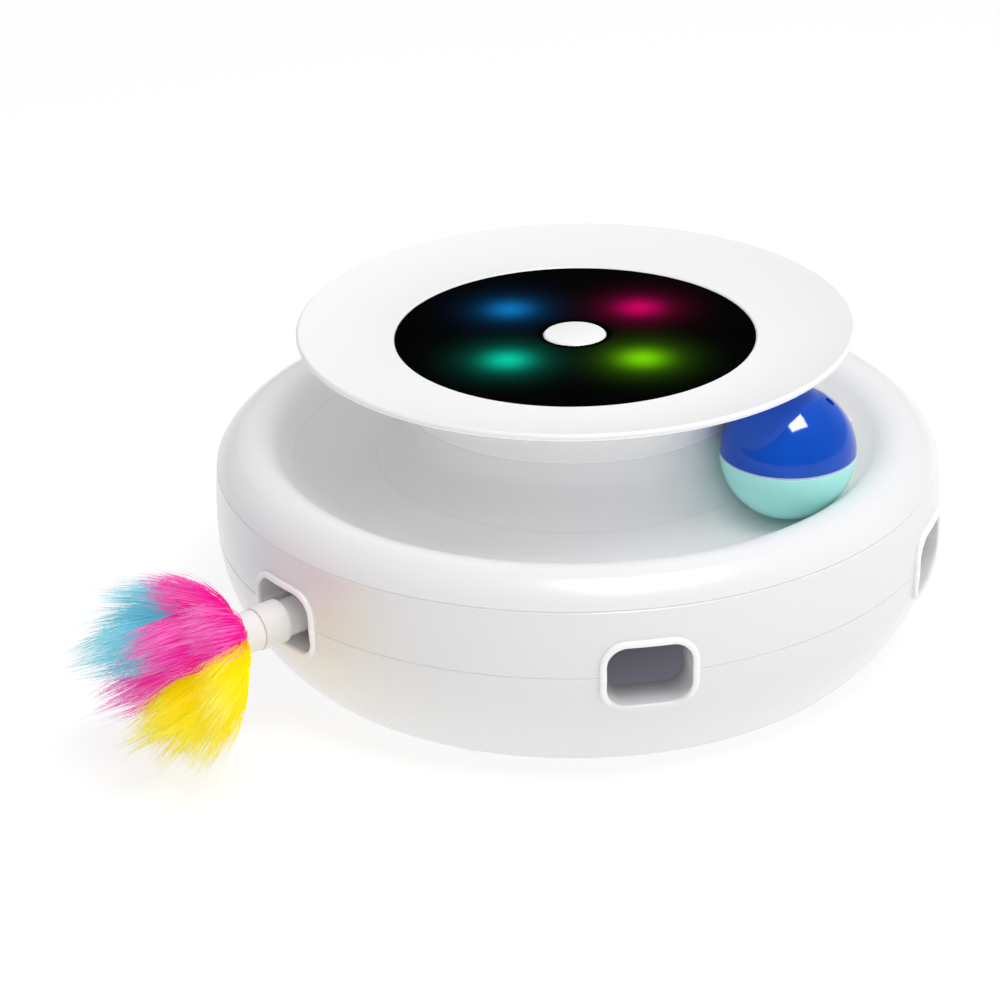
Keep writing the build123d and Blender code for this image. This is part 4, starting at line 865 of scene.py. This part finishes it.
# %% Studio
WORLD_LIGHT = 0.70
WORLD_RIGHT = 0.28
MIRROR_LIGHT, MIRROR_BEHIND = 0.30, 0.22
CAMERA_RIGHT, CAMERA_AHEAD = (0.93, 0.37, 0.0), (-0.37, 0.93, 0.0)
LAMP_AIM, LAMP_WAY = Vector((0.08, -0.02, 0.09)), Vector((0.24, -0.20, 0.95)).normalized()
LAMP_FAR, BALL_GLINT_FAR, LAMP_SIDE = 1.0, 0.98, 0.48
LAMP_POWER, GLINT_POWER, BALL_GLINT_POWER = 5.0, 5.0, 24.0
FLOOR_R, FLOOR_CORNERS = 6.0, 64
FLOOR_WHITE = (0.30, 0.30, 0.30)
FLOOR_SHINE, FLOOR_GAP = 0.74, 0.2 * MM
FIBRE_SIZE, FIBRE_TINT = 2 * MM, 0.01


def soft_light(name, power, far=LAMP_FAR, lights_matt=True):
    """One lamp in the softbox; without lights_matt only mirrors see it."""
    lamp = bpy.data.lights.new(name, "AREA")
    lamp.shape = "RECTANGLE"
    lamp.size = lamp.size_y = LAMP_SIDE
    lamp.energy = power
    made = bpy.data.objects.new(name, lamp)
    made.location = LAMP_AIM + LAMP_WAY * far
    made.rotation_euler = LAMP_WAY.to_track_quat("Z", "Y").to_euler()
    made.visible_diffuse = lights_matt
    bpy.context.scene.collection.objects.link(made)
    return made


soft_light("high_softbox", LAMP_POWER)
soft_light("softbox_glint", GLINT_POWER, lights_matt=False)
ball_glint = soft_light("ball_glint", BALL_GLINT_POWER, BALL_GLINT_FAR, lights_matt=False)
ball_alone = bpy.data.collections.new("ball_alone")
for half in ("ball_lower", "ball_upper"):
    ball_alone.objects.link(nodes[half])
ball_glint.light_linking.receiver_collection = ball_alone


def white_world():
    world = bpy.data.worlds.new("white_studio")
    world.use_nodes = True
    wire = Wire(world.node_tree)
    path = wire.node("LightPath", None, None, "Is Camera Ray")
    straight = wire.math("MAXIMUM", path, Wire(wire.tree, path.socket.node.outputs["Is Transmission Ray"]))
    mirrored = Wire(wire.tree, path.socket.node.outputs["Is Glossy Ray"])
    where = wire.node("TexCoord", None, None, "Generated")
    sideways = wire.node("VectorMath", {"operation": "DOT_PRODUCT"}, {0: where, 1: CAMERA_RIGHT}, "Value")
    lighting = WORLD_LIGHT + sideways * WORLD_RIGHT
    behind = wire.node("VectorMath", {"operation": "DOT_PRODUCT"}, {0: where, 1: CAMERA_AHEAD}, "Value")
    unseen = lighting + mirrored * (MIRROR_LIGHT + behind * MIRROR_BEHIND - lighting)
    strength = unseen + straight * (1 - unseen)
    background = world.node_tree.nodes["Background"]
    background.inputs["Color"].default_value = opaque(WHITE)
    feed(strength, background, "Strength")
    bpy.context.scene.world = world


def white_floor():
    turns = [math.tau * i / FLOOR_CORNERS for i in range(FLOOR_CORNERS)]
    ring = [(FLOOR_R * math.cos(turn), FLOOR_R * math.sin(turn), 0) for turn in turns]
    made = bpy.data.meshes.new("floor")
    made.from_pydata(ring, [], [tuple(range(FLOOR_CORNERS))])
    floor = bpy.data.objects.new("floor", made)
    floor.location.z = cad_box[0][2] - FLOOR_GAP
    bpy.context.scene.collection.objects.link(floor)
    material, wire, shader = new_finish("white_paper_floor", Roughness=0.9, Specular_IOR_Level=0.0,
                                        Emission_Color=opaque(WHITE), Emission_Strength=FLOOR_SHINE)
    dull, bright = opaque(FLOOR_WHITE, 1 - FIBRE_TINT), opaque(FLOOR_WHITE, 1 + FIBRE_TINT)
    feed(blend_colours(wire, grain(wire, FIBRE_SIZE), dull, bright), shader, "Base Color")
    made.materials.append(material)


white_world()
white_floor()
print("studio is lit")
